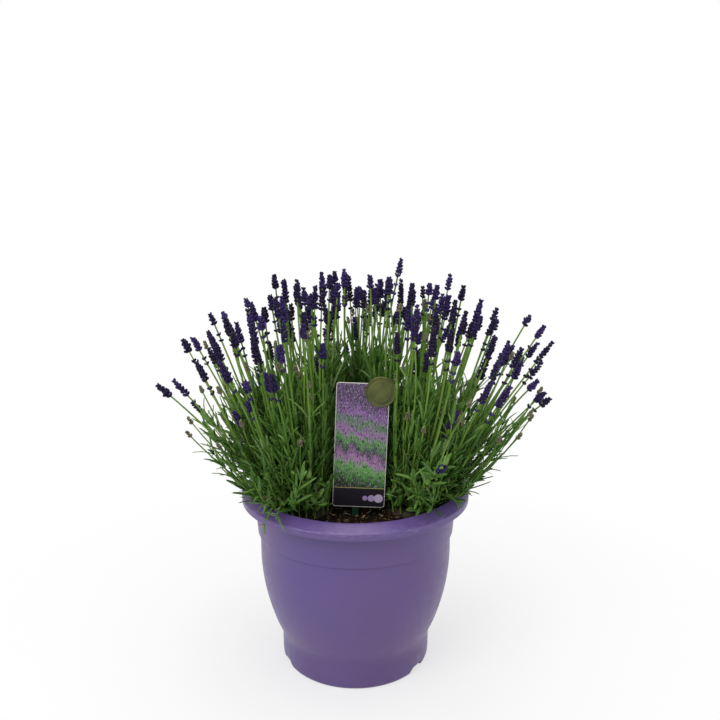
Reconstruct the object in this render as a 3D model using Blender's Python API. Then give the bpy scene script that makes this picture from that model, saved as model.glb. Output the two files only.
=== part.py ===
# Potted lavender: three plants in one round plastic pot, with a printed plant label on a stake.
# Metres, +Z up. The origin is on the pot's axis, on the surface that the pot stands on.
# The front, where the label stands, faces -Y.

import math

import bmesh
import bpy
from mathutils import Vector

# Gap kept between two pieces that rest on or in each other.
SEAT_GAP = 0.0003

# Pot: outer sizes, then the wall. The body bulges by a parabola that is widest at POT_WIDE_Z.
POT_SEGMENTS = 48
POT_HEIGHT = 0.2575
POT_WALL = 0.0024
POT_WIDE_RADIUS = 0.1365
POT_WIDE_Z = 0.165
POT_BULGE = 1.83
BAND_BOTTOM_Z = 0.193
BAND_BOTTOM_RADIUS = 0.1402
BAND_STEP_HEIGHT = 0.009
BAND_TOP_RADIUS = 0.1443
RIM_RADIUS = 0.1612
RIM_SKIRT_BOTTOM_Z = 0.2410
RIM_EDGE_Z = 0.2497
RIM_PLATE_Z = 0.2505
# The rim's lip turns out and down and is open underneath: its underside, its edge, then its top.
RIM_LIP = (
    (BAND_TOP_RADIUS, RIM_PLATE_Z),
    (RIM_RADIUS - POT_WALL, RIM_EDGE_Z - 0.0015),
    (RIM_RADIUS - POT_WALL, RIM_SKIRT_BOTTOM_Z),
    (RIM_RADIUS - 0.0002, RIM_SKIRT_BOTTOM_Z),
    (RIM_RADIUS, RIM_EDGE_Z - 0.0015),
    (RIM_RADIUS - 0.0008, RIM_EDGE_Z),
    (RIM_RADIUS - 0.0030, RIM_EDGE_Z + 0.0015),
    (RIM_RADIUS - 0.0110, RIM_EDGE_Z + 0.0055),
    (BAND_TOP_RADIUS + 0.0010, POT_HEIGHT - 0.0002),
    (BAND_TOP_RADIUS - 0.0010, POT_HEIGHT),
    (BAND_TOP_RADIUS - POT_WALL, POT_HEIGHT - 0.0010),
    (BAND_TOP_RADIUS - POT_WALL - 0.0004, POT_HEIGHT - 0.0035),
)

# Foot: a ring with three notches that let water run out from under the pot.
FOOT_RADIUS = 0.1075
FOOT_TOP_Z = 0.040
FOOT_ROUNDING = 0.005
FOOT_WIDTH = 0.003
FOOT_DRAFT = 0.0005
FLOOR_UNDERSIDE_Z = 0.0115
FLOOR_THICKNESS = 0.0028
NOTCH_COUNT = 3
NOTCH_WIDTH = 0.027
NOTCH_HEIGHT = 0.009
NOTCH_FIRST_ANGLE = math.radians(-35.5)
DRAIN_COUNT = 6
DRAIN_RADIUS = 0.006
DRAIN_CIRCLE_RADIUS = 0.074
DRAIN_FIRST_ANGLE = math.radians(26.0)
DRAIN_SEGMENTS = 12
# How far a cutting tool runs past the faces it cuts.
CUT_OVERRUN = 0.006
NOTCH_CUT_DEPTH = 0.04

SOIL_TOP_Z = 0.235

# Label: a card on a stake, with a round badge over its upper right corner.
CARD_WIDTH = 0.070
CARD_HEIGHT = 0.171
CARD_THICKNESS = 0.0008
CARD_CORNER = 0.004
CARD_CENTRE = Vector((0.0075, -0.068, 0.3335))
CARD_TILT = math.radians(2.3)
BADGE_RADIUS = 0.0205
BADGE_THICKNESS = 0.0014
BADGE_OFFSET = (0.0235, 0.0745)
BADGE_SEGMENTS = 24
STAKE_WIDTH = 0.0085
STAKE_THICKNESS = 0.0022
STAKE_TOP_Z = 0.305
STAKE_TIP_Z = 0.165
STAKE_POINT_LENGTH = 0.030
STAKE_POINT_SHARE = 0.2

# Plants: each crown's centre, and the fan of paths that its shoots and stems follow.
CROWN_CENTRES = {
    "left": Vector((-0.078, -0.036)),
    "right": Vector((0.083, -0.028)),
    "back": Vector((0.0, 0.082)),
}
CROWN_RADIUS = 0.047
CROWN_HEIGHT = 0.011
CROWN_TOP_Z = SOIL_TOP_Z + SEAT_GAP + CROWN_HEIGHT
FAN_BASE_RADIUS = 0.040
FAN_TOP_Z = 0.570
FAN_TOP_MIDDLE = 0.150
FAN_TOP_REACH = 0.145
FAN_TOP_SPREAD = 1.15
FAN_CURVE = 0.15
FAN_SLOTS = 50
GOLDEN_ANGLE = math.pi * (3.0 - math.sqrt(5.0))

# Flower stems: which slots of the fan they take, and how high the spikes reach.
STEM_SLOTS = (4, 14, 24, 34, 44)
STEM_RADIUS = 0.0013
SPIKE_LENGTH = 0.040
SPIKE_RADIUS = 0.0056
TIP_Z_MIDDLE = 0.568
TIP_DROP = 0.075
TIP_DROP_RADIUS = 0.27
TIP_UNEVENNESS = 0.028

# Stems that lean out of the fan: crown, bearing and reach of the foot on the crown, spike tip.
LOOSE_STEMS = (
    ("left", 170.0, 0.043, (-0.2700, -0.028, 0.408)),
    ("right", 5.0, 0.043, (0.2700, -0.016, 0.386)),
    ("right", -100.0, 0.043, (0.0990, -0.232, 0.362)),
    ("back", 100.0, 0.043, (-0.0450, 0.228, 0.470)),
    ("back", -75.0, 0.020, (0.0640, 0.020, 0.576)),
)

# Leafy shoots: the slots of the fan they take, and their leaves.
SHOOT_SLOTS = (7, 19, 29, 39)
SHOOT_TOP_Z = 0.385
SHOOT_SHORTENING = 0.012
SHOOT_RADIUS = 0.0014
SHOOT_PAIRS = 5
SHOOT_FIRST_PAIR = 0.22
SHOOT_LAST_PAIR = 0.93
LEAF_NODE_HEIGHT = 0.0030
LEAF_LENGTH = 0.036
LEAF_TAPER = 0.35
# Each leaf ring: share of the length, width and thickness.
LEAF_RINGS = (
    (0.15, 0.0032, 0.0013),
    (0.50, 0.0054, 0.0010),
    (0.82, 0.0040, 0.0008),
    (1.00, 0.0012, 0.0006),
)
LEAF_RISE = 0.86
LEAF_REACH = 0.42


def clear_scene():
    for item in list(bpy.data.objects):
        bpy.data.objects.remove(item, do_unlink=True)


def make_material(name, colour, roughness):
    material = bpy.data.materials.new(name)
    material.use_nodes = True
    shader = material.node_tree.nodes["Principled BSDF"]
    shader.inputs["Base Color"].default_value = (*colour, 1.0)
    shader.inputs["Roughness"].default_value = roughness
    shader.inputs["Metallic"].default_value = 0.0
    return material


def make_object(name, mesh_builder, material, sharp_angle=None):
    """Turn a finished bmesh into a named object with its own material."""
    bmesh.ops.recalc_face_normals(mesh_builder, faces=mesh_builder.faces)
    mesh = bpy.data.meshes.new(name)
    mesh_builder.to_mesh(mesh)
    mesh_builder.free()
    mesh.materials.append(material)
    if sharp_angle is not None:
        mesh.shade_smooth()
        mesh.set_sharp_from_angle(angle=sharp_angle)
    item = bpy.data.objects.new(name, mesh)
    bpy.context.scene.collection.objects.link(item)
    return item


def bridge_rings(mesh_builder, lower, upper):
    """Join two rings with the same number of corners by a belt of quads."""
    count = len(lower)
    for index in range(count):
        after = (index + 1) % count
        mesh_builder.faces.new((lower[index], lower[after], upper[after], upper[index]))


def turned_solid(profile, segments):
    """Spin a profile about +Z. A point with no radius becomes a pole."""
    mesh_builder = bmesh.new()
    rings = []
    for radius, z in profile:
        if radius == 0.0:
            rings.append([mesh_builder.verts.new((0.0, 0.0, z))])
            continue
        ring = []
        for index in range(segments):
            angle = 2.0 * math.pi * index / segments
            ring.append(mesh_builder.verts.new((radius * math.cos(angle), radius * math.sin(angle), z)))
        rings.append(ring)
    for lower, upper in zip(rings, rings[1:]):
        if len(lower) > 1 and len(upper) > 1:
            bridge_rings(mesh_builder, lower, upper)
            continue
        pole, ring = (lower[0], upper) if len(lower) == 1 else (upper[0], lower)
        for index in range(segments):
            mesh_builder.faces.new((pole, ring[index], ring[(index + 1) % segments]))
    return mesh_builder


def body_radius(z):
    """Outer radius of the pot's curved body between the foot and the band."""
    return POT_WIDE_RADIUS - POT_BULGE * max(POT_WIDE_Z - z, 0.0) ** 2


def even_heights(bottom, top, steps):
    return [bottom + (top - bottom) * index / steps for index in range(steps + 1)]


def pot_inner_profile(gap):
    """Inside of the pot from the floor's centre up to the rim, moved in by a gap."""
    floor_top = FLOOR_UNDERSIDE_Z + FLOOR_THICKNESS
    foot_inside = FOOT_RADIUS - 2.0 * POT_WALL
    points = [(0.0, floor_top + gap)]
    points.append((foot_inside - FOOT_ROUNDING - gap, floor_top + gap))
    points.append((foot_inside - gap, floor_top + FOOT_ROUNDING + gap))
    points.append((body_radius(FOOT_TOP_Z) - POT_WALL - gap, FOOT_TOP_Z))
    for z in even_heights(0.065, POT_WIDE_Z, 4):
        points.append((body_radius(z) - POT_WALL - gap, z))
    points.append((POT_WIDE_RADIUS - POT_WALL - gap, BAND_BOTTOM_Z))
    points.append((BAND_BOTTOM_RADIUS - POT_WALL - gap, BAND_BOTTOM_Z + BAND_STEP_HEIGHT))
    return points


def build_pot():
    """Rolled rim, band, bulging body, notched foot ring and a floor with drain holes."""
    material = make_material("pot_plastic", (0.106, 0.062, 0.208), 0.38)
    foot_flat_edge = FOOT_RADIUS - FOOT_DRAFT - FOOT_ROUNDING
    profile = [(0.0, FLOOR_UNDERSIDE_Z)]
    profile.append((foot_flat_edge - FOOT_WIDTH - 0.001, FLOOR_UNDERSIDE_Z))
    profile.append((foot_flat_edge - FOOT_WIDTH, 0.0))
    profile.append((foot_flat_edge, 0.0))
    for step in (1, 2, 3):
        angle = math.radians(30.0 * step)
        radius = foot_flat_edge + FOOT_ROUNDING * math.sin(angle)
        profile.append((radius, FOOT_ROUNDING * (1.0 - math.cos(angle))))
    profile.append((FOOT_RADIUS, FOOT_TOP_Z - 0.001))
    for z in even_heights(FOOT_TOP_Z + 0.002, POT_WIDE_Z, 7):
        profile.append((body_radius(z), z))
    profile.append((POT_WIDE_RADIUS, BAND_BOTTOM_Z))
    profile.append((BAND_BOTTOM_RADIUS - 0.0010, BAND_BOTTOM_Z + 0.5 * BAND_STEP_HEIGHT))
    profile.append((BAND_BOTTOM_RADIUS, BAND_BOTTOM_Z + BAND_STEP_HEIGHT))
    profile.extend(RIM_LIP)
    profile.extend(reversed(pot_inner_profile(0.0)))
    pot = make_object("pot", turned_solid(profile, POT_SEGMENTS), material, math.radians(32.0))

    for index in range(NOTCH_COUNT):
        angle = NOTCH_FIRST_ANGLE + 2.0 * math.pi * index / NOTCH_COUNT
        cutter = notch_cutter(f"notch_cutter_{index + 1}")
        cutter.location = (FOOT_RADIUS * math.cos(angle), FOOT_RADIUS * math.sin(angle), 0.0)
        cutter.rotation_euler = (0.0, 0.0, angle)
        cut_from(pot, cutter)
    for index in range(DRAIN_COUNT):
        angle = DRAIN_FIRST_ANGLE + 2.0 * math.pi * index / DRAIN_COUNT
        low, high = -CUT_OVERRUN, FLOOR_THICKNESS + CUT_OVERRUN
        hole = turned_solid(
            [(0.0, low), (DRAIN_RADIUS, low), (DRAIN_RADIUS, high), (0.0, high)], DRAIN_SEGMENTS
        )
        cutter = make_object(f"drain_cutter_{index + 1}", hole, material)
        cutter.location = (
            DRAIN_CIRCLE_RADIUS * math.cos(angle),
            DRAIN_CIRCLE_RADIUS * math.sin(angle),
            FLOOR_UNDERSIDE_Z,
        )
        cut_from(pot, cutter)


def notch_cutter(name):
    """A bar with rounded upper edges that lies across the foot ring."""
    half = 0.5 * NOTCH_WIDTH
    rounding = 0.35 * NOTCH_HEIGHT
    outline = [(-half, -CUT_OVERRUN), (half, -CUT_OVERRUN)]
    for side in (1.0, -1.0):
        for step in range(3):
            angle = math.radians(45.0 * step if side > 0.0 else 90.0 - 45.0 * step)
            outline.append((
                side * (half - rounding + rounding * math.cos(angle)),
                NOTCH_HEIGHT - rounding + rounding * math.sin(angle),
            ))
    return outline_prism(name, outline, NOTCH_CUT_DEPTH, make_material(name, (0.5, 0.5, 0.5), 0.5))


def outline_prism(name, outline, depth, material):
    """Extrude a closed outline, given in Y and Z, along X by a depth centred on the origin."""
    mesh_builder = bmesh.new()
    near = [mesh_builder.verts.new((-0.5 * depth, y, z)) for y, z in outline]
    far = [mesh_builder.verts.new((0.5 * depth, y, z)) for y, z in outline]
    bridge_rings(mesh_builder, near, far)
    mesh_builder.faces.new(near)
    mesh_builder.faces.new(far)
    return make_object(name, mesh_builder, material)


def cut_from(target, cutter):
    cutter.hide_render = True
    cutter.display_type = "WIRE"
    boolean = target.modifiers.new(cutter.name, "BOOLEAN")
    boolean.operation = "DIFFERENCE"
    boolean.object = cutter


def build_soil():
    """Potting soil that fills the pot to below the rim, with a slot where the stake goes in."""
    material = make_material("soil_peat", (0.020, 0.013, 0.009), 0.95)
    profile = pot_inner_profile(SEAT_GAP)
    edge_radius = BAND_BOTTOM_RADIUS - POT_WALL - SEAT_GAP
    profile.append((edge_radius, SOIL_TOP_Z - 0.004))
    profile.append((edge_radius - 0.003, SOIL_TOP_Z))
    profile.append((0.0, SOIL_TOP_Z))
    soil = make_object("soil", turned_solid(profile, POT_SEGMENTS), material, math.radians(32.0))
    slot = stake_shape("stake_slot_cutter", STAKE_WIDTH + 2 * SEAT_GAP, STAKE_THICKNESS + 2 * SEAT_GAP,
                       STAKE_TIP_Z - SEAT_GAP, material)
    cut_from(soil, slot)


def stake_shape(name, width, thickness, tip_z, material):
    """A flat stake with a pointed lower end, standing just behind the card."""
    half = 0.5 * width
    outline = [
        (-half, STAKE_TOP_Z),
        (-half, tip_z + STAKE_POINT_LENGTH),
        (-STAKE_POINT_SHARE * half, tip_z),
        (STAKE_POINT_SHARE * half, tip_z),
        (half, tip_z + STAKE_POINT_LENGTH),
        (half, STAKE_TOP_Z),
    ]
    stake = outline_prism(name, outline, thickness, material)
    stake.rotation_euler = (0.0, 0.0, 0.5 * math.pi)
    stake.location = (
        0.0,
        CARD_CENTRE.y + 0.5 * (CARD_THICKNESS + STAKE_THICKNESS) + SEAT_GAP,
        0.0,
    )
    return stake


def build_label():
    """Card with rounded corners, the badge in front of its corner, and the stake behind it."""
    card_outline = []
    for side_y, side_z, first in ((1, 1, 0.0), (-1, 1, 90.0), (-1, -1, 180.0), (1, -1, 270.0)):
        for step in range(4):
            angle = math.radians(first + 30.0 * step)
            card_outline.append((
                side_y * (0.5 * CARD_WIDTH - CARD_CORNER) + CARD_CORNER * math.cos(angle),
                side_z * (0.5 * CARD_HEIGHT - CARD_CORNER) + CARD_CORNER * math.sin(angle),
            ))
    card_material = make_material("label_print", (0.19, 0.16, 0.22), 0.35)
    card = outline_prism("label_card", card_outline, CARD_THICKNESS, card_material)
    # The outline's first axis is turned to face along +X, so the card faces -Y.
    card.rotation_mode = "XYZ"
    card.rotation_euler = (CARD_TILT, 0.0, 0.5 * math.pi)
    card.location = CARD_CENTRE

    badge_outline = []
    for index in range(BADGE_SEGMENTS):
        angle = 2.0 * math.pi * index / BADGE_SEGMENTS
        badge_outline.append((BADGE_RADIUS * math.cos(angle), BADGE_RADIUS * math.sin(angle)))
    badge_material = make_material("badge_plastic", (0.078, 0.090, 0.014), 0.30)
    badge = outline_prism("label_badge", badge_outline, BADGE_THICKNESS, badge_material)
    across, up = BADGE_OFFSET
    badge.rotation_euler = (0.0, 0.0, 0.5 * math.pi)
    badge.location = CARD_CENTRE + Vector((
        across * math.cos(CARD_TILT) + up * math.sin(CARD_TILT),
        -0.5 * (CARD_THICKNESS + BADGE_THICKNESS) - SEAT_GAP,
        up * math.cos(CARD_TILT) - across * math.sin(CARD_TILT),
    ))

    stake_material = make_material("stake_plastic", (0.012, 0.045, 0.025), 0.45)
    stake_shape("label_stake", STAKE_WIDTH, STAKE_THICKNESS, STAKE_TIP_Z, stake_material)


def build_crown(clump, material):
    """The low woody base of one plant, which rests on the soil."""
    centre = CROWN_CENTRES[clump]
    bottom = SOIL_TOP_Z + SEAT_GAP
    profile = [
        (0.0, bottom),
        (CROWN_RADIUS, bottom),
        (CROWN_RADIUS + 0.002, bottom + 0.4 * CROWN_HEIGHT),
        (CROWN_RADIUS - 0.002, CROWN_TOP_Z),
        (0.0, CROWN_TOP_Z),
    ]
    crown = make_object(f"woody_crown_{clump}", turned_solid(profile, 24), material)
    crown.location = (centre.x, centre.y, 0.0)


def fan_point(clump, slot, z):
    """Where the path of one slot of a clump's fan passes the height z."""
    centre = CROWN_CENTRES[clump]
    outward = centre.normalized()
    across = Vector((-outward.y, outward.x))
    share = math.sqrt((slot + 0.5) / FAN_SLOTS)
    angle = slot * GOLDEN_ANGLE
    along_share = share * math.cos(angle)
    across_share = share * math.sin(angle)
    foot = centre + FAN_BASE_RADIUS * (along_share * outward + across_share * across)
    reach = FAN_TOP_MIDDLE + FAN_TOP_REACH * along_share
    top = reach * outward + FAN_TOP_SPREAD * reach * across_share * across
    rise = (z - CROWN_TOP_Z) / (FAN_TOP_Z - CROWN_TOP_Z)
    travel = rise * (1.0 + FAN_CURVE * (1.0 - rise))
    flat = foot + travel * (top - foot)
    return Vector((flat.x, flat.y, z))


def fan_tip_z(clump, slot):
    """Height of a spike's tip: lower towards the outside, and a little uneven."""
    distance = fan_point(clump, slot, FAN_TOP_Z).xy.length
    uneven = (slot * 0.6180339887 + 0.37 * len(clump)) % 1.0
    return TIP_Z_MIDDLE - TIP_DROP * (distance / TIP_DROP_RADIUS) ** 2 - TIP_UNEVENNESS * uneven


def fan_path(clump, slot, top_z, steps):
    bottom = CROWN_TOP_Z + SEAT_GAP
    return [fan_point(clump, slot, z) for z in even_heights(bottom, top_z, steps)]


def loose_path(clump, bearing, reach, tip, steps):
    """A stem that leaves the crown steeply and then leans out to its tip."""
    centre = CROWN_CENTRES[clump]
    angle = math.radians(bearing)
    foot = Vector((
        centre.x + reach * math.cos(angle),
        centre.y + reach * math.sin(angle),
        CROWN_TOP_Z + SEAT_GAP,
    ))
    middle = foot.lerp(Vector(tip), 0.45) + Vector((0.0, 0.0, 0.018))
    points = []
    for index in range(steps + 1):
        t = index / steps
        first = foot.lerp(middle, t)
        second = middle.lerp(Vector(tip), t)
        points.append(first.lerp(second, t))
    return points


def swept_ring(mesh_builder, centre, direction, radius, sides, turn=0.0):
    """A regular ring of corners about a path's point, square to the path."""
    tilt = Vector((0.0, 0.0, 1.0)).rotation_difference(direction)
    ring = []
    for index in range(sides):
        angle = turn + 2.0 * math.pi * (index + 0.5) / sides
        corner = Vector((radius * math.cos(angle), radius * math.sin(angle), 0.0))
        ring.append(mesh_builder.verts.new(centre + tilt @ corner))
    return ring


def path_direction(points, index):
    before = points[max(index - 1, 0)]
    after = points[min(index + 1, len(points) - 1)]
    return (after - before).normalized()


def swept_solid(points, radii, sides, flat_foot):
    """A closed tube along a path. A flat foot keeps its lowest ring level."""
    mesh_builder = bmesh.new()
    rings = []
    for index, (point, radius) in enumerate(zip(points, radii)):
        direction = path_direction(points, index)
        if flat_foot and index == 0:
            direction = Vector((0.0, 0.0, 1.0))
        rings.append(swept_ring(mesh_builder, point, direction, radius, sides))
    for lower, upper in zip(rings, rings[1:]):
        bridge_rings(mesh_builder, lower, upper)
    mesh_builder.faces.new(rings[0])
    mesh_builder.faces.new(rings[-1])
    return mesh_builder


def build_flower(number, path, stem_material, spike_material):
    """One bare stem, and the spike of whorled buds that stands on its end."""
    length = sum((b - a).length for a, b in zip(path, path[1:]))
    spike_start = 1.0 - SPIKE_LENGTH / length
    stem_end = point_at(path, spike_start)
    direction = (path[-1] - stem_end).normalized()
    stem_points = [point_at(path, spike_start * index / 7) for index in range(7)]
    stem_points.append(stem_end)
    radii = [STEM_RADIUS * (1.0 - 0.25 * index / 7) for index in range(8)]
    # The last ring is square to the spike, so that the two flat ends are parallel.
    stem_points[-2] = stem_end - direction * (stem_end - stem_points[-2]).length
    make_object(
        f"flower_stem_{number:02d}",
        swept_solid(stem_points, radii, 4, True),
        stem_material,
    )
    spike_points = []
    spike_radii = []
    for share, width in spike_profile():
        spike_points.append(stem_end + direction * (SEAT_GAP + share * (SPIKE_LENGTH - SEAT_GAP)))
        spike_radii.append(SPIKE_RADIUS * width)
    make_object(
        f"flower_spike_{number:02d}",
        swept_solid(spike_points, spike_radii, 6, False),
        spike_material,
    )


def spike_profile():
    """Share of the length and of the radius: three whorls of buds and a blunt tip."""
    return (
        (0.00, 0.30),
        (0.08, 0.86),
        (0.22, 1.00),
        (0.33, 0.70),
        (0.48, 1.00),
        (0.60, 0.68),
        (0.76, 0.90),
        (0.92, 0.62),
        (1.00, 0.22),
    )


def point_at(path, share):
    """The point at a share of a path's length."""
    lengths = [(b - a).length for a, b in zip(path, path[1:])]
    left = share * sum(lengths)
    for start, end, length in zip(path, path[1:], lengths):
        if left <= length:
            return start.lerp(end, left / length)
        left -= length
    return path[-1].copy()


def leaf_pair_shares():
    step = (SHOOT_LAST_PAIR - SHOOT_FIRST_PAIR) / (SHOOT_PAIRS - 1)
    return [SHOOT_FIRST_PAIR + step * index for index in range(SHOOT_PAIRS)]


def build_shoot(number, clump, slot, order, material):
    """A square stem whose leaves grow from opposite faces, each pair square to the last."""
    top_z = SHOOT_TOP_Z - SHOOT_SHORTENING * order
    path = fan_path(clump, slot, top_z, 10)
    length = sum((b - a).length for a, b in zip(path, path[1:]))
    mesh_builder = bmesh.new()
    up = Vector((0.0, 0.0, 1.0))
    rings = [swept_ring(mesh_builder, path[0], up, SHOOT_RADIUS, 4)]
    for pair, share in enumerate(leaf_pair_shares()):
        size = 1.0 - LEAF_TAPER * pair / (SHOOT_PAIRS - 1)
        direction = (point_at(path, share + 0.01) - point_at(path, share - 0.01)).normalized()
        for height in (0.0, LEAF_NODE_HEIGHT / length):
            point = point_at(path, share + height)
            rings.append(swept_ring(mesh_builder, point, direction, SHOOT_RADIUS, 4))
        lower, upper = rings[-2], rings[-1]
        bridge_rings(mesh_builder, rings[-3], lower)
        first_face = pair % 2
        for face in range(4):
            after = (face + 1) % 4
            quad = (lower[face], lower[after], upper[after], upper[face])
            if face % 2 == first_face:
                grow_leaf(mesh_builder, quad, direction, LEAF_LENGTH * size)
            else:
                mesh_builder.faces.new(quad)
    tip = path[-1]
    rings.append(swept_ring(mesh_builder, tip, path_direction(path, 10), 0.4 * SHOOT_RADIUS, 4))
    bridge_rings(mesh_builder, rings[-2], rings[-1])
    mesh_builder.faces.new(rings[0])
    mesh_builder.faces.new(rings[-1])
    make_object(f"leafy_shoot_{number:02d}", mesh_builder, material)


def grow_leaf(mesh_builder, quad, stem_direction, length):
    """Carry a leaf out from one face of the stem: low side first, rising and bending out."""
    root = sum((corner.co for corner in quad), Vector()) / 4.0
    across = (quad[1].co - quad[0].co).normalized()
    outward = across.cross(stem_direction).normalized()
    ring = list(quad)
    for share, width, thickness in LEAF_RINGS:
        reach = LEAF_REACH * length * (0.55 * share + 0.45 * share * share)
        rise = LEAF_RISE * length * share * (1.2 - 0.2 * share)
        centre = root + outward * reach + stem_direction * rise
        slope_reach = LEAF_REACH * (0.55 + 0.90 * share)
        slope_rise = LEAF_RISE * (1.2 - 0.4 * share)
        along = (outward * slope_reach + stem_direction * slope_rise).normalized()
        normal = along.cross(across).normalized()
        half = 0.5 * width * across
        thick = 0.5 * thickness * normal
        corners = (centre - half - thick, centre + half - thick, centre + half + thick, centre - half + thick)
        following = [mesh_builder.verts.new(corner) for corner in corners]
        bridge_rings(mesh_builder, ring, following)
        ring = following
    mesh_builder.faces.new(ring)


def build_plants():
    crown_material = make_material("crown_wood", (0.075, 0.050, 0.030), 0.85)
    stem_material = make_material("stem_green", (0.105, 0.215, 0.040), 0.60)
    leaf_material = make_material("leaf_green", (0.045, 0.105, 0.025), 0.65)
    spike_material = make_material("spike_violet", (0.028, 0.014, 0.085), 0.80)
    for clump in CROWN_CENTRES:
        build_crown(clump, crown_material.copy())

    shoot = 0
    flower = 0
    for clump in CROWN_CENTRES:
        for order, slot in enumerate(SHOOT_SLOTS):
            shoot += 1
            build_shoot(shoot, clump, slot, order, leaf_material.copy())
        for slot in STEM_SLOTS:
            flower += 1
            path = fan_path(clump, slot, fan_tip_z(clump, slot), 12)
            build_flower(flower, path, stem_material.copy(), spike_material.copy())
    for clump, bearing, reach, tip in LOOSE_STEMS:
        flower += 1
        path = loose_path(clump, bearing, reach, tip, 12)
        build_flower(flower, path, stem_material.copy(), spike_material.copy())


clear_scene()
build_pot()
build_soil()
build_label()
build_plants()
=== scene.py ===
import math
import random

import bmesh
import bpy
from mathutils import Matrix, Vector, noise


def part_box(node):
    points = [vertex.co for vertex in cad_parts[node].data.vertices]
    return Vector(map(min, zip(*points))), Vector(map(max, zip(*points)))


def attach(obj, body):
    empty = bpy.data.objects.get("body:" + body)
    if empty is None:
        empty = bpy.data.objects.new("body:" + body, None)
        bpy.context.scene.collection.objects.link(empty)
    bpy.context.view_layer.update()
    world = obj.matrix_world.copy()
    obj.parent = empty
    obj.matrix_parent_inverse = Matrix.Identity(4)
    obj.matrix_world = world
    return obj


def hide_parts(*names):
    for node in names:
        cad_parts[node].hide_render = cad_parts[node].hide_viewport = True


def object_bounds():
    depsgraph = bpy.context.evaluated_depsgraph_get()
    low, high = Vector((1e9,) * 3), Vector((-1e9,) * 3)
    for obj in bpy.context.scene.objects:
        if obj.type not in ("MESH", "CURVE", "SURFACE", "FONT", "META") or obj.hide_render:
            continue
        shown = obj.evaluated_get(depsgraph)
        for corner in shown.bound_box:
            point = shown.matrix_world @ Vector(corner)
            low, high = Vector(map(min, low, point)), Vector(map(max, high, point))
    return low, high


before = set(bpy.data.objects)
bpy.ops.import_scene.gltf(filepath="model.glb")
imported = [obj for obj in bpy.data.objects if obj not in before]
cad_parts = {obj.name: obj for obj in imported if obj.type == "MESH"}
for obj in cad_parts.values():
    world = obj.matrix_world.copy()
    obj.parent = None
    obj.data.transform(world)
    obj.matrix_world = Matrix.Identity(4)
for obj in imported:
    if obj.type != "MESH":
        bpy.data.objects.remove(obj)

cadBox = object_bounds()
scene = bpy.context.scene
clumps = ("left", "right", "back")
goldenAngle = math.pi * (3 - math.sqrt(5))
upward = Vector((0, 0, 1))


# meshes and objects

def linkMesh(name, mesh, materials, smoothAngle=None):
    for material in materials:
        mesh.materials.append(material)
    if smoothAngle is not None:
        mesh.shade_smooth()
        mesh.set_sharp_from_angle(angle=math.radians(smoothAngle))
    piece = bpy.data.objects.new(name, mesh)
    scene.collection.objects.link(piece)
    return piece


def meshFromBuilder(name, builder):
    bmesh.ops.recalc_face_normals(builder, faces=builder.faces)
    mesh = bpy.data.meshes.new(name)
    builder.to_mesh(mesh)
    builder.free()
    return mesh


def joinRings(builder, lower, upper, slot=0):
    count = len(lower)
    for i in range(count):
        j = (i + 1) % count
        builder.faces.new((lower[i], lower[j], upper[j], upper[i])).material_index = slot


def closeTube(builder, rings):
    # walls between the rings, and a face over each end
    for lower, upper in zip(rings, rings[1:]):
        joinRings(builder, lower, upper)
    builder.faces.new(rings[0])
    builder.faces.new(rings[-1])


def finish(piece, slot, *nodes):
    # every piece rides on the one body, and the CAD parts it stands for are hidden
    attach(piece, "root")
    if nodes:
        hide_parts(*nodes)
    return piece


# profiles with rounded corners, for everything that is turned

def roundedProfile(corners, stepsPerCorner=4):
    # a corner is (radius, height, rounding); a rounding of 0 stays sharp
    points = []
    for i, (r, z, rounding) in enumerate(corners):
        here = Vector((r, z))
        if rounding == 0 or i in (0, len(corners) - 1):
            points.append(here)
            continue
        before = (Vector(corners[i - 1][:2]) - here)
        after = (Vector(corners[i + 1][:2]) - here)
        cut = min(rounding, 0.49 * before.length, 0.49 * after.length)
        start = here + before.normalized() * cut
        end = here + after.normalized() * cut
        for k in range(stepsPerCorner + 1):
            t = k / stepsPerCorner
            points.append(start.lerp(here, t).lerp(here.lerp(end, t), t))
    return points


def turnProfile(builder, points, segments, shape=None):
    # a point on the axis becomes a pole; shape may move each corner
    rings = []
    for point in points:
        if point.x < 1e-6:
            rings.append([builder.verts.new((0, 0, point.y))])
            continue
        ring = []
        for i in range(segments):
            angle = 2 * math.pi * i / segments
            corner = Vector((point.x * math.cos(angle), point.x * math.sin(angle), point.y))
            ring.append(builder.verts.new(shape(corner, angle) if shape else corner))
        rings.append(ring)
    for lower, upper in zip(rings, rings[1:]):
        if len(lower) > 1 and len(upper) > 1:
            joinRings(builder, lower, upper)
            continue
        pole, ring = (lower[0], upper) if len(lower) == 1 else (upper[0], lower)
        for i in range(segments):
            builder.faces.new((pole, ring[i], ring[(i + 1) % segments]))
    return rings


# shader nodes

def newMaterial(name, roughness, **sockets):
    material = bpy.data.materials.new(name)
    material.use_nodes = True
    tree = material.node_tree
    shader = tree.nodes["Principled BSDF"]
    shader.inputs["Roughness"].default_value = roughness
    for socket, value in sockets.items():
        shader.inputs[socket.replace("_", " ")].default_value = value
    return material, tree, shader


def addNode(tree, kind, links=None, **values):
    # a value goes to the input of that name, with _ for a space, or else to the node's own setting
    node = tree.nodes.new(kind)
    for key, value in values.items():
        label = key.replace("_", " ")
        if label in node.inputs:
            node.inputs[label].default_value = value
        else:
            setattr(node, key, value)
    for key, source in (links or {}).items():
        tree.links.new(source, node.inputs[key])
    return node


def shaderNode(tree, kind, links=None, **values):
    return addNode(tree, "ShaderNode" + kind, links, **values)


def feed(tree, socket, value):
    # a socket takes a number, a colour or another node's output
    if isinstance(value, (int, float)):
        socket.default_value = value
    elif isinstance(value, tuple):
        socket.default_value = (*value, 1)
    else:
        tree.links.new(value, socket)


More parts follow.
